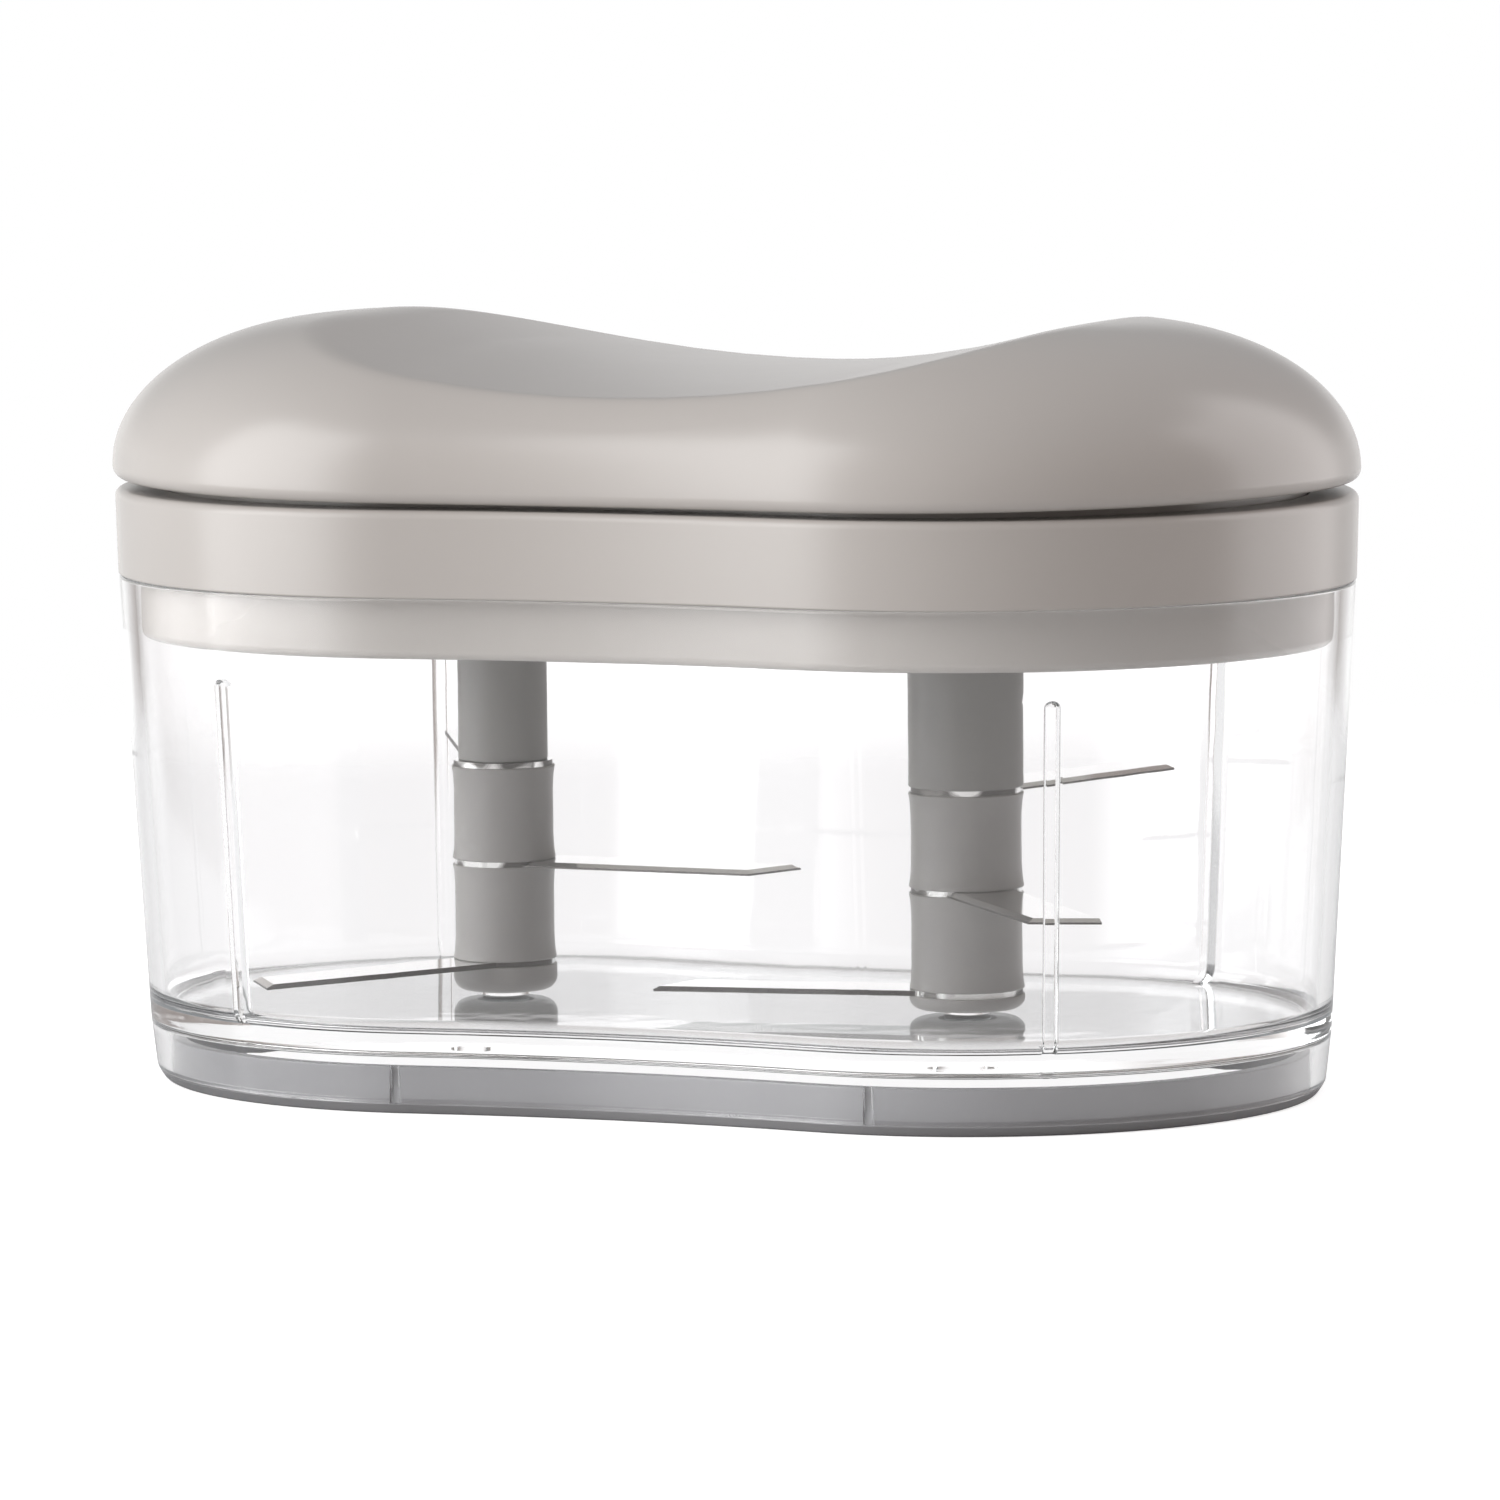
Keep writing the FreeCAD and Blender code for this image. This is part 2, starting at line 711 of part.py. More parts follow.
def cross_pin(name, side, reach):
    """A level cylinder along Y through a rod's foot, reach long on each side of the rod's axis."""
    item = doc.addObject("Part::Cylinder", name)
    item.Label = name
    bind(item, "Radius", size("cross_pin_radius"))
    bind(item, "Height", reach * 2)
    item.Placement = Placement(Vector(0, 0, 0), Rotation(Vector(1, 0, 0), 90))
    bind(item, "Placement.Base.x", size("rotor_offset") * side)
    bind(item, "Placement.Base.y", reach)
    bind(item, "Placement.Base.z", size("cross_pin_height"))
    return item


def make_drive_sleeve(name, side):
    """A sleeve with two spiral grooves in its bore for the cross pin, and a hexagon at its foot."""
    x = size("rotor_offset") * side
    foot, mouth = size("hex_foot"), size("plug_height") + 0.2
    rim, top = size("bush_height"), size("flange_height")
    whole = fuse(name + "_whole", [
        hexagon_bar(name + "_hexagon", size("hex_width"), foot, mouth, x),
        cylinder(name + "_journal", size("journal_radius"), mouth, rim, x=x),
        cylinder(name + "_collar", size("sleeve_flange_radius"), rim, top, x=x)])
    bore = cylinder(name + "_bore", size("bore_radius"), foot - 1.0, top + 1.0, x=x)
    grooves = [spiral_groove(f"{name}_groove_{start}", x.value, start) for start in (90, 270)]
    return cut(name, whole, fuse(name + "_inside", [bore] + grooves))


def spiral_groove(name, x, start):
    """The space of one spiral groove, as a ruled loft through upright sections round the bore.
    It passes the resting cross pin at the start angle and turns clockwise going up."""
    lead, rest = SIZES["lead"], SIZES["cross_pin_height"]
    half = SIZES["groove_half_height"]
    inner, outer = SIZES["rod_radius"] - 0.6, SIZES["groove_radius"]
    foot_turn = (rest - SIZES["hex_foot"] + 2 * half) * 360.0 / lead
    top_turn = (SIZES["flange_height"] - rest + 2 * half) * 360.0 / lead
    steps = range(-math.ceil(foot_turn / GROOVE_STEP), math.ceil(top_turn / GROOVE_STEP) + 1)
    sections = []
    for step in steps:
        angle = math.radians(start - step * GROOVE_STEP)
        height = rest + step * GROOVE_STEP * lead / 360.0
        corners = [(inner, -half), (outer, -half), (outer, half), (inner, half)]
        points = [Vector(x + radius * math.cos(angle), radius * math.sin(angle), height + lift)
                  for radius, lift in corners]
        sections.append(Part.makePolygon(points + [points[0]]))
    item = doc.addObject("Part::Feature", name)
    item.Label = name
    item.Shape = Part.makeLoft(sections, True, True)
    return item


def coil_path(radius, foot, top, turns):
    """One smooth path up a coil, from pairs of arcs that share tangents in each half turn."""
    halves = int(round(turns * 2))
    climb = (top - foot) / halves
    run = radius * math.pi

    def stand(index):
        angle = index * math.pi
        point = Vector(radius * math.cos(angle), radius * math.sin(angle), foot + climb * index)
        along = Vector(-run * math.sin(angle), run * math.cos(angle), climb)
        return point, along.normalize()

    def tangent_arc(start, heading, end):
        chord = end - start
        lean = heading.getAngle(chord)
        apex = start + heading * (chord.Length / 2 / math.cos(lean))
        middle = (start + end) * 0.5
        middle = middle + (apex - middle) * (math.tan(lean / 2) / math.tan(lean))
        return Part.Arc(start, middle, end).toShape()

    edges = []
    for index in range(halves):
        start, heading = stand(index)
        end, next_heading = stand(index + 1)
        chord = end - start
        both = heading + next_heading
        spread = 2 * (1 - heading.dot(next_heading))
        reach = (-chord.dot(both) + math.sqrt(chord.dot(both) ** 2 + spread * chord.dot(chord)))
        reach /= spread
        joint = (start + end + (heading - next_heading) * reach) * 0.5
        edges.append(tangent_arc(start, heading, joint))
        edges.append(tangent_arc(end, next_heading * -1, joint))
    return Part.Wire(Part.__sortEdges__(edges))


def make_return_spring():
    """A steel coil spring between the retainer plate and the cover's frame, squeezed at rest."""
    wire = SIZES["wire_radius"]
    foot = SIZES["retainer_height"] + wire + 0.05
    top = SIZES["frame_ceiling"] - wire - 0.05
    turns = SIZES["coil_turns"]
    path = coil_path(SIZES["coil_radius"], foot, top, turns)
    first = path.OrderedEdges[0]
    start = first.valueAt(first.FirstParameter)
    heading = first.tangentAt(first.FirstParameter)
    out = Vector(1, 0, 0)
    across = heading.cross(out)
    corners = []
    for index in range(6):
        angle = math.radians(60 * index + 30)
        corners.append(start + out * (wire * math.cos(angle)) + across * (wire * math.sin(angle)))
    shell = Part.BRepOffsetAPI.MakePipeShell(path)
    shell.add(Part.makePolygon(corners + [corners[0]]))
    shell.build()
    shell.makeSolid()
    item = doc.addObject("Part::Feature", "return_spring")
    item.Label = "return_spring"
    item.Shape = shell.shape()
    print(f"return_spring: {turns:g} turns, least gap {least_gap(path, turns) - 2 * wire:.2f} mm")
    return item


def least_gap(path, turns):
    """The least distance between points of a coil's middle line that lie over half a turn apart."""
    points = path.discretize(Number=int(turns * 48) + 1)
    half_turn = 24
    pairs = [points[first].distanceToPoint(points[second])
             for first in range(len(points))
             for second in range(first + half_turn, len(points))]
    return min(pairs)


# Rotors: a shaft with three blades held between spacers by a cap, turning on the jar's pivot

# The top blade of each rotor as the photograph has it, in degrees from +X, at rest.
TOP_BLADE_ANGLE = {-1: 118.5, 1: 69.0}
BLADE_STEP = -120.0


def blade_heights(side):
    """Middle heights of a rotor's blades. The right rotor's sit lower, so that they pass."""
    drop = size("rotor_drop") if side > 0 else as_size(0.0)
    return [size(f"left_{name}_blade") - drop for name in ("top", "mid", "low")]


def rotor_body(name, side, angle=None):
    """A piece of one rotor, drawn about its own axis and turned with the rotor's blades."""
    angle = TOP_BLADE_ANGLE[side] if angle is None else angle
    x = size("rotor_offset") * side
    body = new_body(name, Placement(Vector(x.value, 0, 0), Rotation(Vector(0, 0, 1), angle)))
    bind(body, "Placement.Base.x", x)
    return body


def hexagon(width, turn=0.0):
    """Corners of a hexagon of one width across its flats, with one corner at turn degrees."""
    corner = as_size(width) * (1 / math.sqrt(3))
    angles = [math.radians(60 * index + turn) for index in range(6)]
    return [(corner * math.cos(angle), corner * math.sin(angle)) for angle in angles]


def core_hole(body, height, depth):
    """The hole through a piece that slips over the shaft's hexagon core."""
    sketch = new_sketch(body, "XY_Plane", "core_hole", height)
    draw_outline(sketch, hexagon(size("core_width") + 2 * size("core_play")))
    cut_up(body, "core_hole_cut", sketch, depth)


def hand_size(name, side):
    """A size that the left and the right rotor have for themselves."""
    return size(f"{'right' if side > 0 else 'left'}_{name}")


def make_shaft(name, side):
    """The rotor's shaft: a head with a hexagon socket, and a hexagon core below it."""
    body = rotor_body(name, side)
    top_blade, _, _ = blade_heights(side)
    seat = top_blade + size("blade_thickness") * 0.5
    head = size("rotor_head")
    radius = hand_size("shaft_radius", side)
    bevel = 0.5
    profile = new_sketch(body, "XZ_Plane", "head_profile")
    draw_outline(profile, [
        (0, seat), (radius, seat), (radius, head - bevel), (radius - bevel, head), (0, head)])
    turn_profile(body, "head", profile)
    core_foot = size("rotor_foot") + size("cap_floor")
    core = new_sketch(body, "XY_Plane", "core_outline", core_foot)
    draw_outline(core, hexagon(size("core_width")))
    pad(body, "core", core, seat - core_foot)
    socket = new_sketch(body, "XY_Plane", "socket_outline", size("socket_foot"))
    draw_outline(socket, hexagon(size("hex_width") + 2 * size("hex_play"), -TOP_BLADE_ANGLE[side]))
    cut_up(body, "socket", socket, head - size("socket_foot"))
    pivot = new_sketch(body, "XY_Plane", "pivot_bore", core_foot)
    draw_circle(pivot, 0, 0, size("pivot_radius") + size("pivot_play"))
    cut_up(body, "pivot_bore_cut", pivot, size("pivot_height") + 0.5 - core_foot)
    return body


def make_spacer(name, side, low, high):
    """A moulded spacer that holds two blades apart, with a slight lip at both ends."""
    body = rotor_body(name, side)
    half = size("blade_thickness") * 0.5
    foot, top = low + half, high - half
    radius = hand_size("spacer_radius", side)
    lip = radius + size("spacer_lip")
    lip_height = size("spacer_lip_height")
    profile = new_sketch(body, "XZ_Plane", "spacer_profile")
    draw_outline(profile, [
        (0, foot), (lip, foot), (radius, foot + lip_height), (radius, top - lip_height),
        (lip, top), (0, top)])
    turn_profile(body, "spacer", profile)
    core_hole(body, foot, top - foot)
    return body


def make_cap(name, side):
    """The cap under the lowest blade. It closes the stack and turns on the pivot."""
    body = rotor_body(name, side)
    _, _, low_blade = blade_heights(side)
    foot = size("rotor_foot")
    top = low_blade - size("blade_thickness") * 0.5
    radius = hand_size("spacer_radius", side) + size("spacer_lip")
    corner = hand_size("cap_round", side)
    bulge = corner * (1 - math.sqrt(0.5))
    profile = new_sketch(body, "XZ_Plane", "cap_profile")
    draw_outline(profile, [
        (0, foot), (radius - corner, foot), (radius, foot + corner), (radius, top), (0, top)],
        bulges={1: (radius - bulge, foot + bulge)})
    turn_profile(body, "cap", profile)
    pivot = new_sketch(body, "XY_Plane", "pivot_bore", foot)
    draw_circle(pivot, 0, 0, size("pivot_radius") + size("pivot_play"))
    cut_up(body, "pivot_bore_cut", pivot, size("cap_floor"))
    core_hole(body, foot + size("cap_floor"), top - foot - size("cap_floor"))
    return body


def make_blade(name, side, height, angle):
    """A flat steel blade with a round hub. Its clockwise edge and slanted end are ground."""
    body = rotor_body(name, side, angle)
    thickness = size("blade_thickness")
    foot = height - thickness * 0.5
    reach = size("blade_reach")
    root, end = size("blade_root"), size("blade_end")
    hub = hand_size("spacer_radius", side)
    root_x = math.sqrt(hub.value ** 2 - root.value ** 2)
    tip_x = math.sqrt(reach.value ** 2 - end.value ** 2)
    heel = (tip_x - size("blade_slant"), -end)
    sketch = new_sketch(body, "XY_Plane", "blade_outline", foot)
    draw_outline(sketch, [(root_x, -root), heel, (tip_x, end), (root_x, root)],
                 bulges={3: (-hub, 0)})
    draw_outline(sketch, hexagon(size("core_width") + 2 * size("core_play")), name="hole")
    pad(body, "blade", sketch, thickness)
    edges = edges_where(body, ground_edge(foot + thickness, heel))
    add_feature(body, "Chamfer", "ground_edge", False, Base=(body.Tip, edges),
                ChamferType="Two distances", Size=size("blade_grind_depth"),
                Size2=size("blade_grind"))
    return body


def ground_edge(height, heel):
    """A test for the two upper edges that meet at the blade's heel."""
    corner = Vector(heel[0].value, heel[1].value, height.value)

    def test(middle, edge):
        ends = [vertex.Point for vertex in edge.Vertexes]
        level = abs(middle.z - height.value) < 0.01
        return level and any(point.distanceToPoint(corner) < 0.02 for point in ends)

    return test


# Cover: a domed shell with a saddle across it, on a frame that slides in the lid

# The angles up the dome's quarter ellipse at which its level sections stand, in degrees
OUTER_DOME_ANGLES = (0, 11, 23, 36, 50, 65, 90)
INNER_DOME_ANGLES = (0, 40, 90)


def dome(name, skin, angles, crowned):
    """The solid inside one skin of the cover: a domed peanut with the saddle cut across it."""
    body = new_body(name)
    skin = as_size(skin)
    start = size("dome_start")
    foot = size("cover_height") - 2.0
    edge = skin - size("cover_overhang")
    outline = peanut_sketch(body, "edge_outline", edge, foot)
    pad(body, "edge", outline, start - foot)
    sections = []
    for angle in angles:
        share_in = 1 - math.cos(math.radians(angle))
        share_up = math.sin(math.radians(angle))
        inset = edge + (size("dome_reach") - skin) * share_in
        height = start + (size("dome_rise") - skin) * share_up
        sections.append(peanut_sketch(body, f"dome_outline_{angle}", inset, height))
    loft(body, "dome", sections)
    cut_saddle(body, size("saddle_height") - skin, crowned)
    cut_edge_arch(body, foot)
    return body


def cut_saddle(body, lowest, crowned):
    """The hand's saddle: an arc along the cover, swept over a wide crown or straight across it."""
    half = 75.0
    radius = size("saddle_radius")
    rise = radius.value - math.sqrt(radius.value ** 2 - half ** 2)
    top = size("dome_start") + size("dome_rise") + 12.0
    sketch = new_sketch(body, "XZ_Plane", "saddle_profile")
    draw_outline(sketch, [(half, lowest + rise), (half, top), (-half, top), (-half, lowest + rise)],
                 bulges={3: (0, lowest)})
    if not crowned:
        add_feature(body, "Pocket", "saddle", False, Profile=sketch, Type="ThroughAll",
                    Midplane=True)
        return
    axis_height = lowest - size("saddle_crown_radius")
    axis = sketch.addGeometry(Part.LineSegment(Vector(-half, axis_height.value, 0),
                                               Vector(half, axis_height.value, 0)), True)
    for vertex, x in ((1, -half), (2, half)):
        pin_point(sketch, axis, vertex, as_size(x), axis_height, f"axis{vertex}")
    add_feature(body, "Groove", "saddle", False, Profile=sketch,
                ReferenceAxis=(sketch, ["Axis0"]), Angle=12.0, Midplane=True)


def cut_edge_arch(body, foot):
    """The cover's lower edge is lowest in the middle and lifts a little towards both ends."""
    half = 100.0
    low = size("cover_height")
    high = low + size("edge_arch")
    sketch = new_sketch(body, "XZ_Plane", "edge_arch_profile")
    under = foot - 5.0
    draw_outline(sketch, [(half, under), (half, high), (-half, high), (-half, under)],
                 bulges={1: (0, low)})
    add_feature(body, "Pocket", "edge_arch", False, Profile=sketch, Type="ThroughAll",
                Midplane=True)


def make_cover_shell():
    outside = dome("cover_outside", 0.0, OUTER_DOME_ANGLES, crowned=True)
    inside = dome("cover_inside", size("shell_wall"), INNER_DOME_ANGLES, crowned=False)
    skin = cut("cover_skin", outside, inside)
    under_dome = size("dome_start") + size("dome_rise") - 2.0
    under_saddle = size("saddle_height") - 2.0
    posts = []
    pilots = []
    for index, (x, y) in enumerate(shell_screw_places()):
        top = under_dome if index < 2 else under_saddle
        posts.append(cylinder(f"shell_post_{index}", size("post_radius"), size("frame_height"),
                              top, x=x, y=y))
        pilots.append(cylinder(f"shell_pilot_{index}", size("screw_radius") - 0.15,
                               size("frame_height"), size("shell_screw_height") + 0.5, x=x, y=y))
    for side, name in SIDES:
        posts.append(cylinder(f"rod_stop_{name}", size("post_radius"), size("rod_head_top") + 0.1,
                              size("saddle_height") + 1.6, x=size("rotor_offset") * side))
    return cut("cover_shell", fuse("cover_with_posts", [skin] + posts),
               fuse("shell_pilots", pilots))


def shell_screw_places():
    """Two screws under the humps and two beside the saddle."""
    ends = size("shell_screw_end_reach")
    sides = size("shell_screw_side_reach")
    return [(-ends, 0), (ends, 0), (0, -sides), (0, sides)]


def make_cover_frame():
    body = new_body("cover_frame")
    foot, ceiling, top = size("frame_foot"), size("frame_ceiling"), size("frame_height")
    outline = peanut_sketch(body, "frame_outline", size("frame_inset"), foot)
    pad(body, "frame", outline, top - foot)
    lip = peanut_sketch(body, "lip_outline", size("guide_inset") + 0.3, foot)
    pad(body, "lip", lip, size("lip_height"))
    inside = peanut_sketch(body, "frame_inside", size("frame_inset") + size("frame_wall"), foot)
    cut_up(body, "frame_inside_cut", inside, ceiling - foot)
    guide_foot = size("spring_guide_foot")
    guide = new_sketch(body, "XY_Plane", "spring_guide", guide_foot)
    draw_circle(guide, 0, 0, size("spring_guide_radius"), "outside")
    draw_circle(guide, 0, 0, size("spring_guide_radius") - 2.0, "inside")
    pad(body, "spring_guide_pad", guide, ceiling - guide_foot)
    holes = new_sketch(body, "XY_Plane", "frame_holes", ceiling)
    for side, name in SIDES:
        draw_circle(holes, size("rotor_offset") * side, 0, size("rod_radius") + 0.15, name)
        add_rod_pocket(body, side, name)
    for index, (x, y) in enumerate(shell_screw_places()):
        draw_circle(holes, x, y, size("screw_radius") + 0.2, f"shell_screw{index}")
    cut_up(body, "frame_holes_cut", holes, top - ceiling)
    return body


def add_rod_pocket(body, side, name):
    """The hexagon pocket that a rod's head drops into, so that the rod can't turn."""
    foot = size("rod_head_foot")
    pocket = new_sketch(body, "XY_Plane", f"rod_pocket_{name}", foot)
    x = size("rotor_offset") * side
    corners = hexagon(size("hex_width") + 2 * size("hex_play"))
    draw_outline(pocket, [(x + corner_x, corner_y) for corner_x, corner_y in corners])
    cut_up(body, f"rod_pocket_{name}_cut", pocket, size("frame_height") - foot)


# The assembly, piece by piece

pieces = [make_jar(), make_foot_ring(), make_lid_plug(), make_lid_ring(), make_lid_seal(),
          make_retainer_plate(), make_return_spring(), make_cover_shell(), make_cover_frame()]
for side, hand in SIDES:
    pieces.append(make_bush(f"bush_{hand}", side))
    pieces.append(make_drive_sleeve(f"drive_sleeve_{hand}", side))
    pieces.append(make_spindle(f"spindle_{hand}", side))
    pieces.append(cross_pin(f"cross_pin_{hand}", side, size("cross_pin_reach")))
    top, mid, low = blade_heights(side)
    pieces.append(make_shaft(f"shaft_{hand}", side))
    pieces.append(make_spacer(f"spacer_upper_{hand}", side, mid, top))
    pieces.append(make_spacer(f"spacer_lower_{hand}", side, low, mid))
    pieces.append(make_cap(f"cap_{hand}", side))
    for index, (place, height) in enumerate((("top", top), ("mid", mid), ("low", low))):
        angle = TOP_BLADE_ANGLE[side] + BLADE_STEP * index
        pieces.append(make_blade(f"blade_{place}_{hand}", side, height, angle))
pieces.append(screws("retainer_screws", retainer_screw_places(), size("retainer_screw_foot"),
                     size("retainer_height")))
pieces.append(screws("frame_screws", shell_screw_places(), size("shell_screw_height"),
                     size("frame_ceiling"), head_up=False))

doc.recompute()
for item in doc.Objects:
    if {"Invalid", "Error"} & set(item.State):
        raise RuntimeError(f"{item.Name} failed: {item.State}")
os.makedirs("parts", exist_ok=True)
for piece in pieces:
    shape = piece.Shape
    expected = len(piece.Links) if piece.isDerivedFrom("Part::Compound") else 1
    if shape.isNull() or not shape.isValid() or len(shape.Solids) != expected:
        raise RuntimeError(f"{piece.Label} is not {expected} valid solid")
    shape.exportStep(f"parts/{piece.Label}.step")
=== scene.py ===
import bpy
import bmesh
import math
from mathutils import Matrix, Vector


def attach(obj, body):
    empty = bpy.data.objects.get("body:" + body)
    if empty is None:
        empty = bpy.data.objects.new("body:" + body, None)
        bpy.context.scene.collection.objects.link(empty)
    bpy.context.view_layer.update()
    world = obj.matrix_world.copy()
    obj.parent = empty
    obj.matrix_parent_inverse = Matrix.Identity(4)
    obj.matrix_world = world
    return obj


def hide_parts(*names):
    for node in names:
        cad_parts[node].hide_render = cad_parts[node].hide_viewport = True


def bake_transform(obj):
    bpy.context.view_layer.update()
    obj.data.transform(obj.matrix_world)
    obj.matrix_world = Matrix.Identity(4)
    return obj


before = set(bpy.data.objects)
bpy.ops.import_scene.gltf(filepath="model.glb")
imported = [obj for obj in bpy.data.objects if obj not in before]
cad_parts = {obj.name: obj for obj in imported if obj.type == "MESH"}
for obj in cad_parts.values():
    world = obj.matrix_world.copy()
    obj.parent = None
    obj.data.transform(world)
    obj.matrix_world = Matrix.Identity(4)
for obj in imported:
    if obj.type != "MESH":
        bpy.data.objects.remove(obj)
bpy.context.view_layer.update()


# Foot ring
# The grey ring that the chopper stands on, moulded in thermoplastic rubber. It is
# pushed up inside the bowl's skirt, where four small keys of the bowl fit its notches. Its
# slow clouds of lighter and darker grey are painted light and shade, standing in for light
# that the clear skirt carries onto the ring.

MM = 0.001
lobe_radius = 56.3
lobe_offset = 38.9
waist_radius = 206.0
waist_centre = math.sqrt((lobe_radius + waist_radius) ** 2 - lobe_offset ** 2)
lobe_end = 180.0 - math.degrees(math.atan2(waist_centre, lobe_offset))
widest_step = 4.0
waist_steps = 8
merge_gap = 0.003

foot_colour = (0.27, 0.27, 0.28, 1.0)
key_angles = (-88.3, 95.8)
notch_steps = (0.85, 1.0)
notch_depth = 1.0
ring_face = 7.5
ring_inside = 9.5
ring_shelf = 1.6
ring_top = 7.0
foot_section = ((6.4, 0.0, 0.5), (5.3, ring_shelf, 0.25), (ring_face, ring_shelf, 0.0),
                (ring_face, ring_top, 0.3), (ring_inside, ring_top, 0.3), (ring_inside, 0.0, 0.4))


def pick(test):
    """Selects only the vertices of the edited mesh whose places pass the test."""
    bpy.ops.mesh.select_all(action="DESELECT")
    data = bpy.context.object.data
    mesh = bmesh.from_edit_mesh(data)
    for vertex in mesh.verts:
        vertex.select = test(vertex.co)
    mesh.select_flush(True)
    bmesh.update_edit_mesh(data)


def draw_line(name, corners, closed=True):
    """Starts a piece as a line drawn in the upright plane on X. A corner is X, Z and rounding."""
    places = [Vector((x * MM, 0, z * MM)) for x, z, rounding in corners]
    bpy.ops.object.select_all(action="DESELECT")
    bpy.ops.mesh.primitive_plane_add(size=MM)
    piece = bpy.context.object
    piece.name = name
    bpy.ops.object.mode_set(mode="EDIT")
    bpy.ops.mesh.select_mode(type="VERT")
    bpy.ops.mesh.merge(type="CENTER")
    bpy.ops.transform.translate(value=places[0])
    route = places + places[:1] if closed else places
    for start, end in zip(route, route[1:]):
        bpy.ops.mesh.extrude_region_move(TRANSFORM_OT_translate={"value": end - start})
    bpy.ops.mesh.select_all(action="SELECT")
    bpy.ops.mesh.remove_doubles(threshold=merge_gap * MM)
    for place, (x, z, rounding) in zip(places, corners):
        if rounding:
            pick(lambda spot: (spot - place).length < 0.01 * MM)
            bpy.ops.mesh.bevel(affect="VERTICES", offset=rounding * MM,
                               segments=max(3, round(2 * rounding) + 2))
    return piece


def draw_section(name, corners, closed=True):
    """A section of a piece that follows the bowl's outline. A corner is inset, Z and rounding."""
    end = lobe_offset + lobe_radius
    return draw_line(name, [(end - inset, z, rounding) for inset, z, rounding in corners], closed)


def spin_about(x, y, turns):
    """Spins what is selected anticlockwise about an upright axis by one turn after another."""
    for turn in turns:
        bpy.ops.mesh.spin(steps=max(1, math.ceil(abs(turn) / widest_step)),
                          angle=-math.radians(turn), center=(x * MM, y * MM, 0), axis=(0, 0, 1))


def turns_between(angles):
    """The turns from a lobe's far end through one column after another to the lobe's end."""
    stops = [0.0, *sorted(angles), lobe_end]
    return [end - start for start, end in zip(stops, stops[1:])]


def spin_outline(columns=()):
    """Spins the drawn section round the outline, with extra columns at the angles on each lobe."""
    ahead = turns_between(angle for angle in columns if angle > 0)
    behind = turns_between(-angle for angle in columns if angle < 0)[::-1]
    waist_turns = [-(2 * lobe_end - 180.0) / waist_steps] * waist_steps
    bpy.ops.mesh.select_all(action="SELECT")
    spin_about(lobe_offset, 0, ahead)
    spin_about(0, waist_centre, waist_turns)
    spin_about(-lobe_offset, 0, behind + ahead)
    spin_about(0, -waist_centre, waist_turns)
    spin_about(lobe_offset, 0, behind)
    bpy.ops.mesh.select_all(action="SELECT")
    bpy.ops.mesh.remove_doubles(threshold=merge_gap * MM)
    bpy.ops.mesh.select_all(action="DESELECT")


def lobe_place(spot):
    """Where a point lies on its lobe: inset from the outline in mm, and its angle from the far
    end. The left lobe's angles are those of the right one after half a turn."""
    side = 1 if spot.x > 0 else -1
    across = spot.x / MM * side - lobe_offset
    along = spot.y / MM * side
    return lobe_radius - math.hypot(across, along), math.degrees(math.atan2(along, across))


def push_in(spot, depth):
    """Moves a point on a lobe towards that lobe's middle."""
    centre = Vector((math.copysign(lobe_offset * MM, spot.x), 0, spot.z))
    spot += (centre - spot).normalized() * depth * MM


def close_mesh(smooth_angle=35.0):
    """Ends the shaping of a piece: joins doubles, turns faces outwards and smooths them."""
    bpy.ops.mesh.select_all(action="SELECT")
    bpy.ops.mesh.remove_doubles(threshold=merge_gap * MM)
    bpy.ops.mesh.normals_make_consistent(inside=False)
    bpy.ops.object.mode_set(mode="OBJECT")
    bpy.ops.object.shade_smooth_by_angle(angle=math.radians(smooth_angle))
    piece = bpy.context.object
    even = piece.modifiers.new("even_shading", "WEIGHTED_NORMAL")
    even.keep_sharp = True
    bpy.ops.object.modifier_apply(modifier=even.name)
    return piece


def new_group(name, inputs, outputs):
    """An empty shader node group with its sockets, and its input and output nodes."""
    group = bpy.data.node_groups.new(name, "ShaderNodeTree")
    for label, kind, value in inputs:
        socket = group.interface.new_socket(label, in_out="INPUT", socket_type=kind)
        socket.default_value = value
    for label, kind in outputs:
        group.interface.new_socket(label, in_out="OUTPUT", socket_type=kind)
    return group, group.nodes.new("NodeGroupInput"), group.nodes.new("NodeGroupOutput")


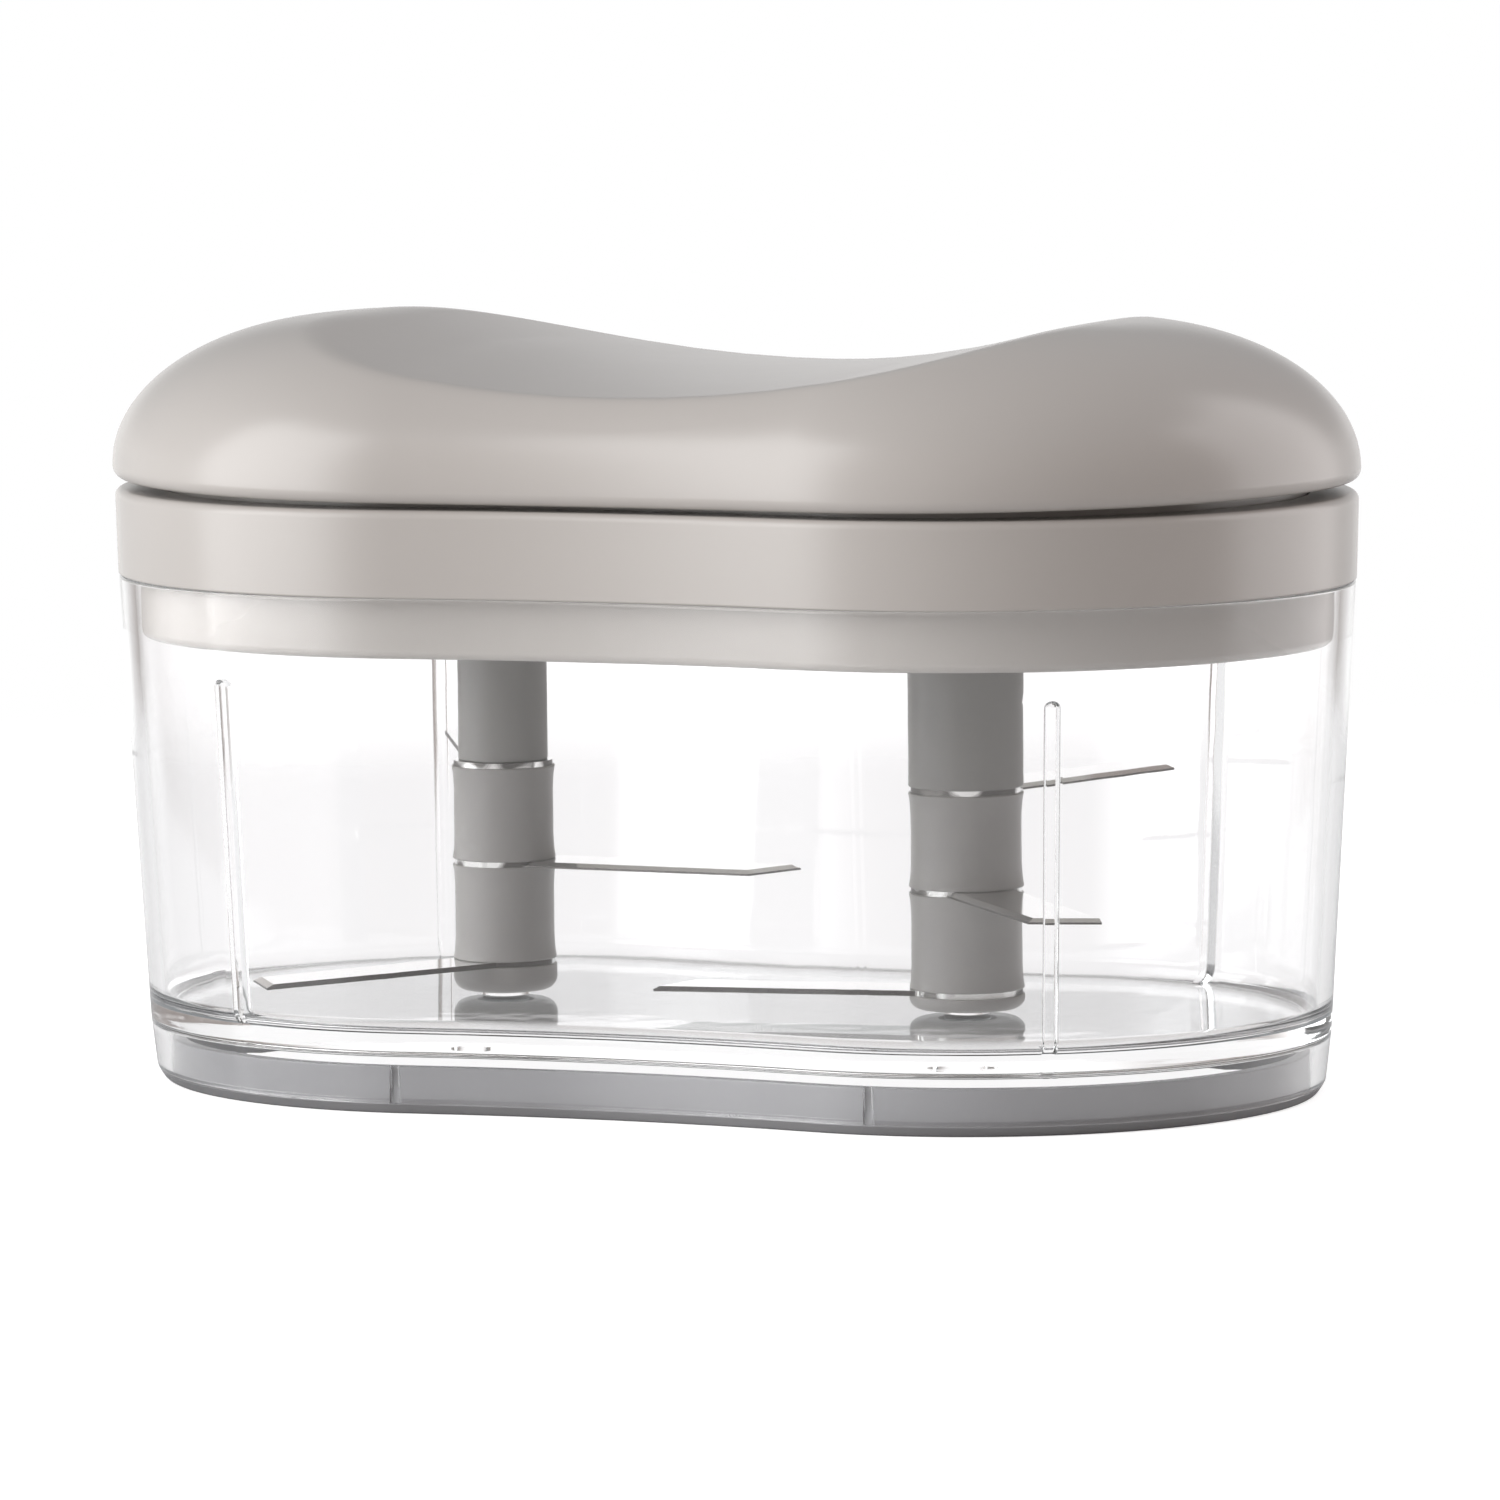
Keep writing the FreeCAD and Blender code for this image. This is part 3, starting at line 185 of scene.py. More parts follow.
def make_moulded_skin():
    """The skin of a moulded plastic: slow shifts of shade and gloss, over a fine grain.
    Where the shade is strong, as on the foot ring, its clouds are painted light and shade.
    """
    group, start, end = new_group(
        "moulded_skin",
        [("Color", "NodeSocketColor", (0.5, 0.5, 0.5, 1)), ("Shade", "NodeSocketFloat", 0.04),
         ("Roughness", "NodeSocketFloat", 0.35), ("Gloss Shift", "NodeSocketFloat", 0.08),
         ("Grain Scale", "NodeSocketFloat", 2500.0), ("Grain Depth", "NodeSocketFloat", 0.1),
         ("Cloud Scale", "NodeSocketFloat", 28.0)],
        [("Color", "NodeSocketColor"), ("Roughness", "NodeSocketFloat"),
         ("Normal", "NodeSocketVector")])
    nodes, link = group.nodes, group.links.new
    place = nodes.new("ShaderNodeTexCoord").outputs["Object"]

    cloud = nodes.new("ShaderNodeTexNoise")
    cloud.inputs["Detail"].default_value = 3.0
    link(start.outputs["Cloud Scale"], cloud.inputs["Scale"])
    link(place, cloud.inputs["Vector"])
    centred = nodes.new("ShaderNodeMath")
    centred.operation = "SUBTRACT"
    centred.inputs[1].default_value = 0.5
    link(cloud.outputs["Fac"], centred.inputs[0])

    shade = nodes.new("ShaderNodeMath")
    shade.operation = "MULTIPLY_ADD"
    shade.inputs[2].default_value = 1.0
    link(centred.outputs[0], shade.inputs[0])
    link(start.outputs["Shade"], shade.inputs[1])
    tint = nodes.new("ShaderNodeVectorMath")
    tint.operation = "SCALE"
    link(start.outputs["Color"], tint.inputs[0])
    link(shade.outputs[0], tint.inputs["Scale"])
    link(tint.outputs[0], end.inputs["Color"])

    gloss = nodes.new("ShaderNodeMath")
    gloss.operation = "MULTIPLY_ADD"
    link(centred.outputs[0], gloss.inputs[0])
    link(start.outputs["Gloss Shift"], gloss.inputs[1])
    link(start.outputs["Roughness"], gloss.inputs[2])
    link(gloss.outputs[0], end.inputs["Roughness"])

    grain = nodes.new("ShaderNodeTexNoise")
    grain.inputs["Detail"].default_value = 2.0
    link(place, grain.inputs["Vector"])
    link(start.outputs["Grain Scale"], grain.inputs["Scale"])
    bump = nodes.new("ShaderNodeBump")
    bump.inputs["Distance"].default_value = 0.00005
    link(start.outputs["Grain Depth"], bump.inputs["Strength"])
    link(grain.outputs["Fac"], bump.inputs["Height"])
    link(bump.outputs["Normal"], end.inputs["Normal"])
    return group


moulded_skin = make_moulded_skin()


def new_material(name):
    """A material with only its output and a Principled shader, joined."""
    material = bpy.data.materials.new(name)
    material.use_nodes = True
    return material, material.node_tree, material.node_tree.nodes["Principled BSDF"]


def use_skin(tree, shader, values):
    """Puts the moulded skin on a shader, with its own colour, gloss and grain."""
    skin = tree.nodes.new("ShaderNodeGroup")
    skin.node_tree = moulded_skin
    for label, value in values.items():
        skin.inputs[label].default_value = value
    tree.links.new(skin.outputs["Color"], shader.inputs["Base Color"])
    tree.links.new(skin.outputs["Roughness"], shader.inputs["Roughness"])
    tree.links.new(skin.outputs["Normal"], shader.inputs["Normal"])


# The ring's strong, slow clouds (Shade 2.6 at Cloud Scale 8) are painted light and shade: lighter and
# darker patches standing in for light carried through the clear skirt.
foot_plastic, foot_tree, foot_shader = new_material("foot_plastic")
use_skin(foot_tree, foot_shader, {"Color": foot_colour, "Shade": 2.6, "Roughness": 0.2,
                                  "Gloss Shift": 0.1, "Grain Scale": 1800.0, "Grain Depth": 0.2,
                                  "Cloud Scale": 8.0})
foot_shader.inputs["IOR"].default_value = 1.48
foot_shader.inputs["Subsurface Weight"].default_value = 0.2
foot_shader.inputs["Subsurface Radius"].default_value = (0.004, 0.004, 0.004)

foot_ring = draw_section("foot_ring_piece", foot_section)
spin_outline([angle + step * way for angle in key_angles for step in notch_steps
              for way in (-1, 1)])
for vertex in bmesh.from_edit_mesh(foot_ring.data).verts:
    inset, angle = lobe_place(vertex.co)
    in_notch = any(abs(angle - key_angle) < notch_steps[0] + 0.05 for key_angle in key_angles)
    on_face = -0.1 < inset - ring_face < 0.5
    if in_notch and on_face and vertex.co.z > (ring_shelf + 0.1) * MM:
        push_in(vertex.co, notch_depth)
close_mesh()
foot_ring.data.materials.append(foot_plastic)
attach(foot_ring, "jar")
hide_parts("foot_ring")


# Bowl
# One clear moulding in styrene-acrylonitrile with a raised floor, four upright ribs on its
# inside wall, a skirt below the floor, and two pivots that the rotors stand and turn on.

rib_angles = (-57.9, 65.3)
rib_depth = 1.7
rib_half = 1.1
rib_crest = 0.6
rib_round = 61.9
rib_shares = (0.0, 0.35, 0.6, 0.75, 0.87, 0.95, 0.99, 1.0)
rib_degree = 1.25
key_steps = (0.58, 0.7)
key_depth = 0.8
key_inset = 6.7
key_top = 7.1
wall_inset = 3.3
floor_height = 11.75
floor_edge = 12.0
floor_underside = 9.25
rotor_offset = 37.0
boss_radius = 3.5
pivot_steps = ((3.5, 12.65), (3.42, 12.82), (3.25, 12.9), (2.4, 12.9), (2.2, 13.1), (2.2, 20.2),
               (1.9, 20.5))
clear_colour = (0.99, 0.985, 0.99, 1.0)
clear_shadow = (0.93, 0.94, 0.94, 1.0)
longest_path = 4.5
bowl_section = ((floor_edge, floor_height, 0.0), (6.36, floor_height, 2.4), (3.463, rib_round, 0.0),
                (3.44, 62.3, 0.0), (3.422, 62.6, 0.0), (3.411, 62.8, 0.0), (3.404, 62.92, 0.0),
                (3.399, 63.0, 0.0), (3.324, 64.3, 0.0), (2.65, 76.0, 0.5),
                (0.45, 76.0, 0.5), (4.3, 9.2, 1.2), (5.2, 1.6, 0.4), (7.4, 1.6, 0.4),
                (6.77, 7.0, 0.0), (6.74, 7.25, 0.0), (6.5, floor_underside, 0.8),
                (floor_edge, floor_underside, 0.0))


def fill_level(height, circles):
    """Closes a flat level of the edited piece but for round holes, each given by X, Y, radius."""
    for x, y, radius in circles:
        bpy.ops.mesh.primitive_circle_add(vertices=40, radius=radius * MM,
                                          location=(x * MM, y * MM, height * MM))
    bpy.ops.mesh.select_all(action="DESELECT")
    data = bpy.context.object.data
    mesh = bmesh.from_edit_mesh(data)
    for edge in mesh.edges:
        level = all(abs(vertex.co.z - height * MM) < 0.01 * MM for vertex in edge.verts)
        edge.select = level and len(edge.link_faces) < 2
    bmesh.update_edit_mesh(data)
    bpy.ops.mesh.fill(use_beauty=True)


def carry_circle(x, y, radius, height, steps, capped=True):
    """Extrudes a round hole's edge through steps of radius and height, and caps the last."""
    centre = Vector((x * MM, y * MM, 0))
    level = height * MM

    def on_circle(spot):
        away = math.hypot(spot.x - centre.x, spot.y - centre.y)
        return abs(away - radius * MM) < 0.02 * MM and abs(spot.z - level) < 0.02 * MM

    pick(on_circle)
    for next_radius, next_height in steps:
        rise = (0, 0, (next_height - height) * MM)
        bpy.ops.mesh.extrude_edges_move(TRANSFORM_OT_translate={"value": rise})
        share = next_radius / radius
        bpy.ops.transform.resize(value=(share, share, 1),
                                 center_override=(x * MM, y * MM, next_height * MM))
        radius, height = next_radius, next_height
    if capped:
        bpy.ops.mesh.edge_face_add()


def shape_rib(spot, angle):
    """Moves one point of the inside wall to a rib's side, flat crest or half-round top."""
    for rib_angle in rib_angles:
        offset = angle - rib_angle
        share = abs(offset) / rib_degree
        if share > 1.01:
            continue
        rise = min(1.0, max(0.0, spot.z / MM - rib_round) / rib_half)
        narrow = math.sqrt(1 - rise * rise)
        centre = Vector((math.copysign(lobe_offset * MM, spot.x), 0, 0))
        turn = Matrix.Rotation(math.radians(offset * (narrow - 1)), 3, "Z")
        spot.xyz = centre + turn @ (spot - centre)
        edge = max(0.0, math.hypot(min(share, 1.0) * narrow, rise) - rib_crest) / (1 - rib_crest)
        push_in(spot, rib_depth * math.sqrt(max(0.0, 1 - edge * edge)))


bowl = draw_section("bowl", bowl_section, closed=False)
spin_outline(sorted({angle + share * rib_degree * way for angle in rib_angles
                     for share in rib_shares for way in (-1, 1)}
                    | {angle + step * way for angle in key_angles for step in key_steps
                       for way in (-1, 1)}))
for vertex in bmesh.from_edit_mesh(bowl.data).verts:
    inset, angle = lobe_place(vertex.co)
    height = vertex.co.z / MM
    on_key = any(abs(angle - key_angle) < key_steps[0] + 0.05 for key_angle in key_angles)
    beside_rib = floor_height - 0.05 < height < rib_round + rib_half + 0.05
    if beside_rib and wall_inset < inset < floor_edge - 1.0:
        shape_rib(vertex.co, angle)
    if on_key and inset > key_inset and height < key_top:
        push_in(vertex.co, key_depth)
bosses = [(rotor_offset * side, 0, boss_radius) for side in (-1, 1)]
fill_level(floor_height, bosses)
fill_level(floor_underside, ())
for x, y, radius in bosses:
    carry_circle(x, y, radius, floor_height, pivot_steps)
close_mesh()

clear_plastic, clear_tree, clear_shader = new_material("clear_plastic")
use_skin(clear_tree, clear_shader, {"Color": clear_colour, "Shade": 0.005, "Roughness": 0.02,
                                    "Gloss Shift": 0.03, "Grain Scale": 60.0,
                                    "Grain Depth": 0.6})
clear_shader.inputs["IOR"].default_value = 1.5
clear_shader.inputs["Transmission Weight"].default_value = 1.0
# The bowl's shadow stays light, and light that runs on and on inside the wall goes straight
# out after longest_path turns. It would leave the real wall too, so no dark specks stay in it.
light_way = clear_tree.nodes.new("ShaderNodeLightPath")
let_through = clear_tree.nodes.new("ShaderNodeBsdfTransparent")
let_through.inputs["Color"].default_value = clear_shadow
trapped = clear_tree.nodes.new("ShaderNodeMath")
trapped.operation = "GREATER_THAN"
trapped.inputs[1].default_value = longest_path
free_ray = clear_tree.nodes.new("ShaderNodeMath")
free_ray.operation = "MAXIMUM"
clear_mix = clear_tree.nodes.new("ShaderNodeMixShader")
clear_tree.links.new(light_way.outputs["Ray Depth"], trapped.inputs[0])
clear_tree.links.new(light_way.outputs["Is Shadow Ray"], free_ray.inputs[0])
clear_tree.links.new(trapped.outputs[0], free_ray.inputs[1])
clear_tree.links.new(free_ray.outputs[0], clear_mix.inputs["Fac"])
clear_tree.links.new(clear_shader.outputs["BSDF"], clear_mix.inputs[1])
clear_tree.links.new(let_through.outputs["BSDF"], clear_mix.inputs[2])
clear_tree.links.new(clear_mix.outputs["Shader"],
                     clear_tree.nodes["Material Output"].inputs["Surface"])
bowl.data.materials.append(clear_plastic)
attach(bowl, "jar")
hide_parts("jar")


# Rotor shafts
# Each rotor is a grey acetal shaft with a hexagon socket in its head, where the lid's drive
# drops in. Below the head a hexagon core carries the blades and spacers.

rotor_colour = (0.225, 0.22, 0.212, 1.0)
blade_heights = {"left": (46.9, 32.0, 16.9), "right": (45.05, 30.15, 15.05)}
half_blade = 0.4
shaft_radii = {"left": 6.75, "right": 8.55}
shaft_top = 66.4
socket_floor = 59.8
core_end = 13.7
socket_corner = 10.7 / math.sqrt(3)
core_corner = 7.2 / math.sqrt(3)

rotor_plastic, rotor_tree, rotor_shader = new_material("rotor_plastic")
use_skin(rotor_tree, rotor_shader, {"Color": rotor_colour, "Shade": 0.06, "Roughness": 0.4,
                                    "Gloss Shift": 0.12, "Grain Scale": 2200.0,
                                    "Grain Depth": 0.35})
rotor_shader.inputs["IOR"].default_value = 1.47


def spin_full(x):
    """Spins the drawn line once round a rotor's axis."""
    bpy.ops.mesh.select_all(action="SELECT")
    bpy.ops.mesh.spin(steps=60, angle=2 * math.pi, center=(x * MM, 0, 0), axis=(0, 0, 1))
    bpy.ops.mesh.select_all(action="SELECT")
    bpy.ops.mesh.remove_doubles(threshold=merge_gap * MM)


def sink_hexagon(x, height, corner, depth_height):
    """Joins the round edge left at a level to a hexagon, and sinks or drops that hexagon."""
    bpy.ops.mesh.primitive_circle_add(vertices=6, radius=corner * MM,
                                      location=(x * MM, 0, height * MM))
    bpy.ops.mesh.subdivide(number_cuts=9)
    bpy.ops.mesh.select_all(action="DESELECT")
    data = bpy.context.object.data
    mesh = bmesh.from_edit_mesh(data)
    for edge in mesh.edges:
        level = all(abs(vertex.co.z - height * MM) < 0.01 * MM for vertex in edge.verts)
        edge.select = level and len(edge.link_faces) < 2
    bmesh.update_edit_mesh(data)
    bpy.ops.mesh.bridge_edge_loops()
    in_hexagon = corner * MM * 1.001
    pick(lambda spot: abs(spot.z - height * MM) < 0.01 * MM
         and math.hypot(spot.x - x * MM, spot.y) < in_hexagon)
    drop = (0, 0, (depth_height - height) * MM)
    bpy.ops.mesh.extrude_edges_move(TRANSFORM_OT_translate={"value": drop})
    bpy.ops.mesh.edge_face_add()


for hand, side in (("left", -1), ("right", 1)):
    x = rotor_offset * side
    seat = blade_heights[hand][0] + half_blade
    edge = x + shaft_radii[hand]
    shaft = draw_line(f"rotor_shaft_{hand}", [
        (x + 5.5, seat, 0.0), (edge, seat, 0.25), (edge, shaft_top, 0.3),
        (edge - 0.45, shaft_top, 0.0)], closed=False)
    spin_full(x)
    sink_hexagon(x, shaft_top, socket_corner, socket_floor)
    sink_hexagon(x, seat, core_corner, core_end)
    close_mesh()
    shaft.data.materials.append(rotor_plastic)
    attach(shaft, f"rotor_{hand}")
    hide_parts(f"shaft_{hand}")


# Spacers and caps
# Rings of a lighter grey acetal, a little waisted, that hold the blades apart on the core. The
# cap below the lowest blade is snapped on, closes the stack and reaches round the bowl's boss.

spacer_colour = (0.275, 0.267, 0.26, 1.0)
spacer_radii = {"left": 7.5, "right": 8.25}
spacer_lip = 0.35
cap_roundings = {"left": 2.0, "right": 1.6}
cap_foot = 12.5
cap_bore = 2.3
cap_recess = 4.3
recess_top = 13.1
web_top = 13.6
core_bore = 4.5

spacer_plastic, spacer_tree, spacer_shader = new_material("spacer_plastic")
use_skin(spacer_tree, spacer_shader, {"Color": spacer_colour, "Shade": 0.06, "Roughness": 0.36,
                                      "Gloss Shift": 0.12, "Grain Scale": 2200.0,
                                      "Grain Depth": 0.35})
spacer_shader.inputs["IOR"].default_value = 1.47

for hand, side in (("left", -1), ("right", 1)):
    x = rotor_offset * side
    edge = x + spacer_radii[hand]
    top, mid, low = blade_heights[hand]
    for name, foot, head in (("upper", mid + half_blade, top - half_blade),
                             ("lower", low + half_blade, mid - half_blade)):
        spacer = draw_line(f"spacer_{name}_piece_{hand}", [
            (x + core_bore, foot, 0.0), (edge + spacer_lip, foot, 0.25), (edge + 0.12, foot + 1.2, 0.5),
            (edge, foot + 3.5, 0.0), (edge, head - 3.5, 0.0), (edge + 0.12, head - 1.2, 0.5),
            (edge + spacer_lip, head, 0.25), (x + core_bore, head, 0.0)])
        spin_full(x)
        close_mesh()
        spacer.data.materials.append(spacer_plastic)
        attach(spacer, f"rotor_{hand}")
        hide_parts(f"spacer_{name}_{hand}")
    lid = low - half_blade
    cap = draw_line(f"cap_piece_{hand}", [
        (x + cap_bore, recess_top, 0.0), (x + cap_recess, recess_top, 0.0),
        (x + cap_recess, cap_foot, 0.2),
        (edge + spacer_lip, cap_foot, cap_roundings[hand]), (edge + spacer_lip, lid, 0.2),
        (x + core_bore, lid, 0.0), (x + core_bore, web_top, 0.0), (x + cap_bore, web_top, 0.0)])
    spin_full(x)
    close_mesh()
    cap.data.materials.append(spacer_plastic)
    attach(cap, f"rotor_{hand}")
    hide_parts(f"cap_{hand}")


# Blades
# Three flat stainless blades on each rotor, a third of a turn apart, stamped from 0.8 mm sheet.
# The leading edge and the slanted end are ground, the faces are brushed along the blade, and
# the stamped edges are dull, with their dark colour painted shade, but for the hub's rim,
# which rubs bright between the spacers.

blade_colour = (0.84, 0.84, 0.83, 1.0)
# The upright cut edges are painted dark: painted shade, over their real dullness.
edge_shade_colour = (0.13, 0.125, 0.12, 1.0)
edge_roughness = 0.4
rim_play = 0.3
tear_scale = 130.0
top_blade_angles = {"left": 118.5, "right": 69.0}
blade_turn = 120.0


def make_ground_steel():
    """Ground steel: fine scratches that run one way, seen in its gloss and its relief."""
    group, start, end = new_group(
        "ground_steel",
        [("Vector", "NodeSocketVector", (0, 0, 0)), ("Color", "NodeSocketColor", (1, 1, 1, 1)),
         ("Roughness", "NodeSocketFloat", 0.25), ("Scratches", "NodeSocketFloat", 0.2)],
        [("Color", "NodeSocketColor"), ("Roughness", "NodeSocketFloat"),
         ("Normal", "NodeSocketVector")])
    nodes, link = group.nodes, group.links.new
    scratch = nodes.new("ShaderNodeTexNoise")
    scratch.inputs["Scale"].default_value = 900.0
    scratch.inputs["Detail"].default_value = 4.0
    link(start.outputs["Vector"], scratch.inputs["Vector"])
    centred = nodes.new("ShaderNodeMath")
    centred.operation = "SUBTRACT"
    centred.inputs[1].default_value = 0.5
    link(scratch.outputs["Fac"], centred.inputs[0])
    gloss = nodes.new("ShaderNodeMath")
    gloss.operation = "MULTIPLY_ADD"
    link(centred.outputs[0], gloss.inputs[0])
    link(start.outputs["Scratches"], gloss.inputs[1])
    link(start.outputs["Roughness"], gloss.inputs[2])
    link(gloss.outputs[0], end.inputs["Roughness"])
    shade = nodes.new("ShaderNodeMath")
    shade.operation = "MULTIPLY_ADD"
    shade.inputs[1].default_value = 0.12
    shade.inputs[2].default_value = 1.0
    link(centred.outputs[0], shade.inputs[0])
    tint = nodes.new("ShaderNodeVectorMath")
    tint.operation = "SCALE"
    link(start.outputs["Color"], tint.inputs[0])
    link(shade.outputs[0], tint.inputs["Scale"])
    link(tint.outputs[0], end.inputs["Color"])
    bump = nodes.new("ShaderNodeBump")
    bump.inputs["Distance"].default_value = 0.00002
    link(start.outputs["Scratches"], bump.inputs["Strength"])
    link(scratch.outputs["Fac"], bump.inputs["Height"])
    link(bump.outputs["Normal"], end.inputs["Normal"])
    return group


ground_steel = make_ground_steel()


def steel_material(name, colour, roughness, scratches, stretch, turn=0.0):
    """A steel whose scratches are fine along X and Y by stretch, turned by turn degrees."""
    material, tree, shader = new_material(name)
    place = tree.nodes.new("ShaderNodeTexCoord")
    lay = tree.nodes.new("ShaderNodeMapping")
    lay.inputs["Rotation"].default_value = (0, 0, -math.radians(turn))
    lay.inputs["Scale"].default_value = stretch
    steel = tree.nodes.new("ShaderNodeGroup")
    steel.node_tree = ground_steel
    steel.inputs["Color"].default_value = colour
    steel.inputs["Roughness"].default_value = roughness
    steel.inputs["Scratches"].default_value = scratches
    tree.links.new(place.outputs["Object"], lay.inputs["Vector"])
    tree.links.new(lay.outputs["Vector"], steel.inputs["Vector"])
    tree.links.new(steel.outputs["Color"], shader.inputs["Base Color"])
    tree.links.new(steel.outputs["Roughness"], shader.inputs["Roughness"])
    tree.links.new(steel.outputs["Normal"], shader.inputs["Normal"])
    shader.inputs["Metallic"].default_value = 1.0
    return material


def dress(node, material):
    """Gives a piece that stays as packed its material, and smooth round faces."""
    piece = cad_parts[node]
    piece.data.materials.clear()
    piece.data.materials.append(material)
    piece.data.polygons.foreach_set("use_smooth", [True] * len(piece.data.polygons))


def make_sheared_edge():
    """A stamped blade's upright edge: dull, and painted dark as shade, but on the hub's rim only in
    torn patches.
    """
    group, start, end = new_group(
        "sheared_edge",
        [("Color", "NodeSocketColor", (1, 1, 1, 1)), ("Roughness", "NodeSocketFloat", 0.1),
         ("Edge Shade Color", "NodeSocketColor", (0.1, 0.1, 0.1, 1)),
         ("Edge Roughness", "NodeSocketFloat", 0.4), ("Axis", "NodeSocketVector", (0, 0, 0)),
         ("Hub Radius", "NodeSocketFloat", 0.008)],
        [("Color", "NodeSocketColor"), ("Roughness", "NodeSocketFloat")])
    nodes, link = group.nodes, group.links.new
    place = nodes.new("ShaderNodeTexCoord").outputs["Object"]

    flat = nodes.new("ShaderNodeVectorMath")
    flat.operation = "MULTIPLY"
    flat.inputs[1].default_value = (1, 1, 0)
    link(place, flat.inputs[0])
    from_axis = nodes.new("ShaderNodeVectorMath")
    from_axis.operation = "DISTANCE"
    link(flat.outputs["Vector"], from_axis.inputs[0])
    link(start.outputs["Axis"], from_axis.inputs[1])
    off_hub = nodes.new("ShaderNodeMath")
    off_hub.operation = "GREATER_THAN"
    link(from_axis.outputs["Value"], off_hub.inputs[0])
    link(start.outputs["Hub Radius"], off_hub.inputs[1])

    tear = nodes.new("ShaderNodeTexNoise")
    tear.inputs["Scale"].default_value = tear_scale
    tear.inputs["Detail"].default_value = 1.0
    link(place, tear.inputs["Vector"])
    torn = nodes.new("ShaderNodeMapRange")
    torn.inputs["From Min"].default_value = 0.5
    torn.inputs["From Max"].default_value = 0.56
    link(tear.outputs["Fac"], torn.inputs["Value"])
    rough = nodes.new("ShaderNodeMath")
    rough.operation = "MAXIMUM"
    link(off_hub.outputs[0], rough.inputs[0])
    link(torn.outputs["Result"], rough.inputs[1])

    facing = nodes.new("ShaderNodeNewGeometry")
    parts = nodes.new("ShaderNodeSeparateXYZ")
    link(facing.outputs["True Normal"], parts.inputs["Vector"])
    lying = nodes.new("ShaderNodeMath")
    lying.operation = "ABSOLUTE"
    link(parts.outputs["Z"], lying.inputs[0])
    upright = nodes.new("ShaderNodeMapRange")
    upright.inputs["From Min"].default_value = 0.6
    upright.inputs["From Max"].default_value = 0.2
    link(lying.outputs[0], upright.inputs["Value"])
    share = nodes.new("ShaderNodeMath")
    share.operation = "MULTIPLY"
    link(upright.outputs["Result"], share.inputs[0])
    link(rough.outputs[0], share.inputs[1])

    colour = nodes.new("ShaderNodeMix")
    colour.data_type = "RGBA"
    link(share.outputs[0], colour.inputs["Factor"])
    link(start.outputs["Color"], colour.inputs[6])
    link(start.outputs["Edge Shade Color"], colour.inputs[7])
    link(colour.outputs[2], end.inputs["Color"])
    gloss = nodes.new("ShaderNodeMix")
    gloss.data_type = "FLOAT"
    link(share.outputs[0], gloss.inputs["Factor"])
    link(start.outputs["Roughness"], gloss.inputs[2])
    link(start.outputs["Edge Roughness"], gloss.inputs[3])
    link(gloss.outputs[0], end.inputs["Roughness"])
    return group


sheared_edge = make_sheared_edge()


def shear_edges(material, x, hub):
    """Gives a blade's steel its stamped edges, dull and painted dark as shade, round a hub of that
    radius at X.
    """
    tree = material.node_tree
    shader = tree.nodes["Principled BSDF"]
    edge = tree.nodes.new("ShaderNodeGroup")
    edge.node_tree = sheared_edge
    edge.inputs["Edge Shade Color"].default_value = edge_shade_colour
    edge.inputs["Edge Roughness"].default_value = edge_roughness
    edge.inputs["Axis"].default_value = (x * MM, 0, 0)
    edge.inputs["Hub Radius"].default_value = (hub + rim_play) * MM
    for finish, socket in (("Color", "Base Color"), ("Roughness", "Roughness")):
        tree.links.new(shader.inputs[socket].links[0].from_socket, edge.inputs[finish])
        tree.links.new(edge.outputs[finish], shader.inputs[socket])


for hand, side in (("left", -1), ("right", 1)):
    for index, place in enumerate(("top", "mid", "low")):
        blade_steel = steel_material(
            f"blade_steel_{place}_{hand}", blade_colour, roughness=0.1, scratches=0.08,
            stretch=(0.05, 1.0, 1.0), turn=top_blade_angles[hand] - blade_turn * index)
        shear_edges(blade_steel, rotor_offset * side, spacer_radii[hand])
        dress(f"blade_{place}_{hand}", blade_steel)


# Lid plug
# The lower half of the lid, moulded in warm grey polypropylene. It fills the bowl's mouth,
# rests on the rim by its flange, and its floor carries both drive bearings.

plug_colour = (0.51, 0.485, 0.46, 1.0)
plug_floor = 67.0
plug_deck = 69.4
drive_hole = 6.75
drive_boss = 10.0
screw_boss = 3.5
screw_offset = 52.0
spring_boss = 12.0
boss_top = 78.1
plug_section = ((12.0, plug_floor, 0.0), (3.75, plug_floor, 1.3), (3.6, 78.2, 0.0),
                (2.0, 78.2, 0.2), (2.0, 80.2, 0.2), (3.6, 80.2, 0.0), (3.6, 84.9, 0.3),
                (5.6, 84.9, 0.3), (5.6, plug_deck, 0.5), (12.0, plug_deck, 0.0))

lid_plastic, lid_tree, lid_shader = new_material("lid_plastic")
use_skin(lid_tree, lid_shader, {"Color": plug_colour, "Shade": 0.03, "Roughness": 0.24,
                                "Gloss Shift": 0.08, "Grain Scale": 2600.0,
                                "Grain Depth": 0.15})

plug = draw_section("lid_plug_piece", plug_section, closed=False)
spin_outline()
fill_level(plug_floor, [(rotor_offset * side, 0, drive_hole) for side in (-1, 1)])
fill_level(plug_deck, [(rotor_offset * side, 0, drive_boss) for side in (-1, 1)]
           + [(screw_offset * side, 0, screw_boss) for side in (-1, 1)] + [(0, 0, spring_boss)])
for side in (-1, 1):
    carry_circle(rotor_offset * side, 0, drive_boss, plug_deck, [
        (drive_boss, 75.7), (9.7, 76.0), (8.2, 76.0), (8.2, plug_deck), (drive_hole, plug_deck),
        (drive_hole, plug_floor)], capped=False)
    carry_circle(screw_offset * side, 0, screw_boss, plug_deck,
                 [(screw_boss, boss_top), (1.35, boss_top), (1.35, 70.4)])
carry_circle(0, 0, spring_boss, plug_deck,
             [(spring_boss, boss_top), (7.6, boss_top), (7.6, plug_deck)])
close_mesh()
plug.data.materials.append(lid_plastic)
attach(plug, "lid")
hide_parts("lid_plug")


# Seal
# A moulded gasket of soft silicone in the lid's groove. The lid's flange squeezes it on the
# bowl's rim.

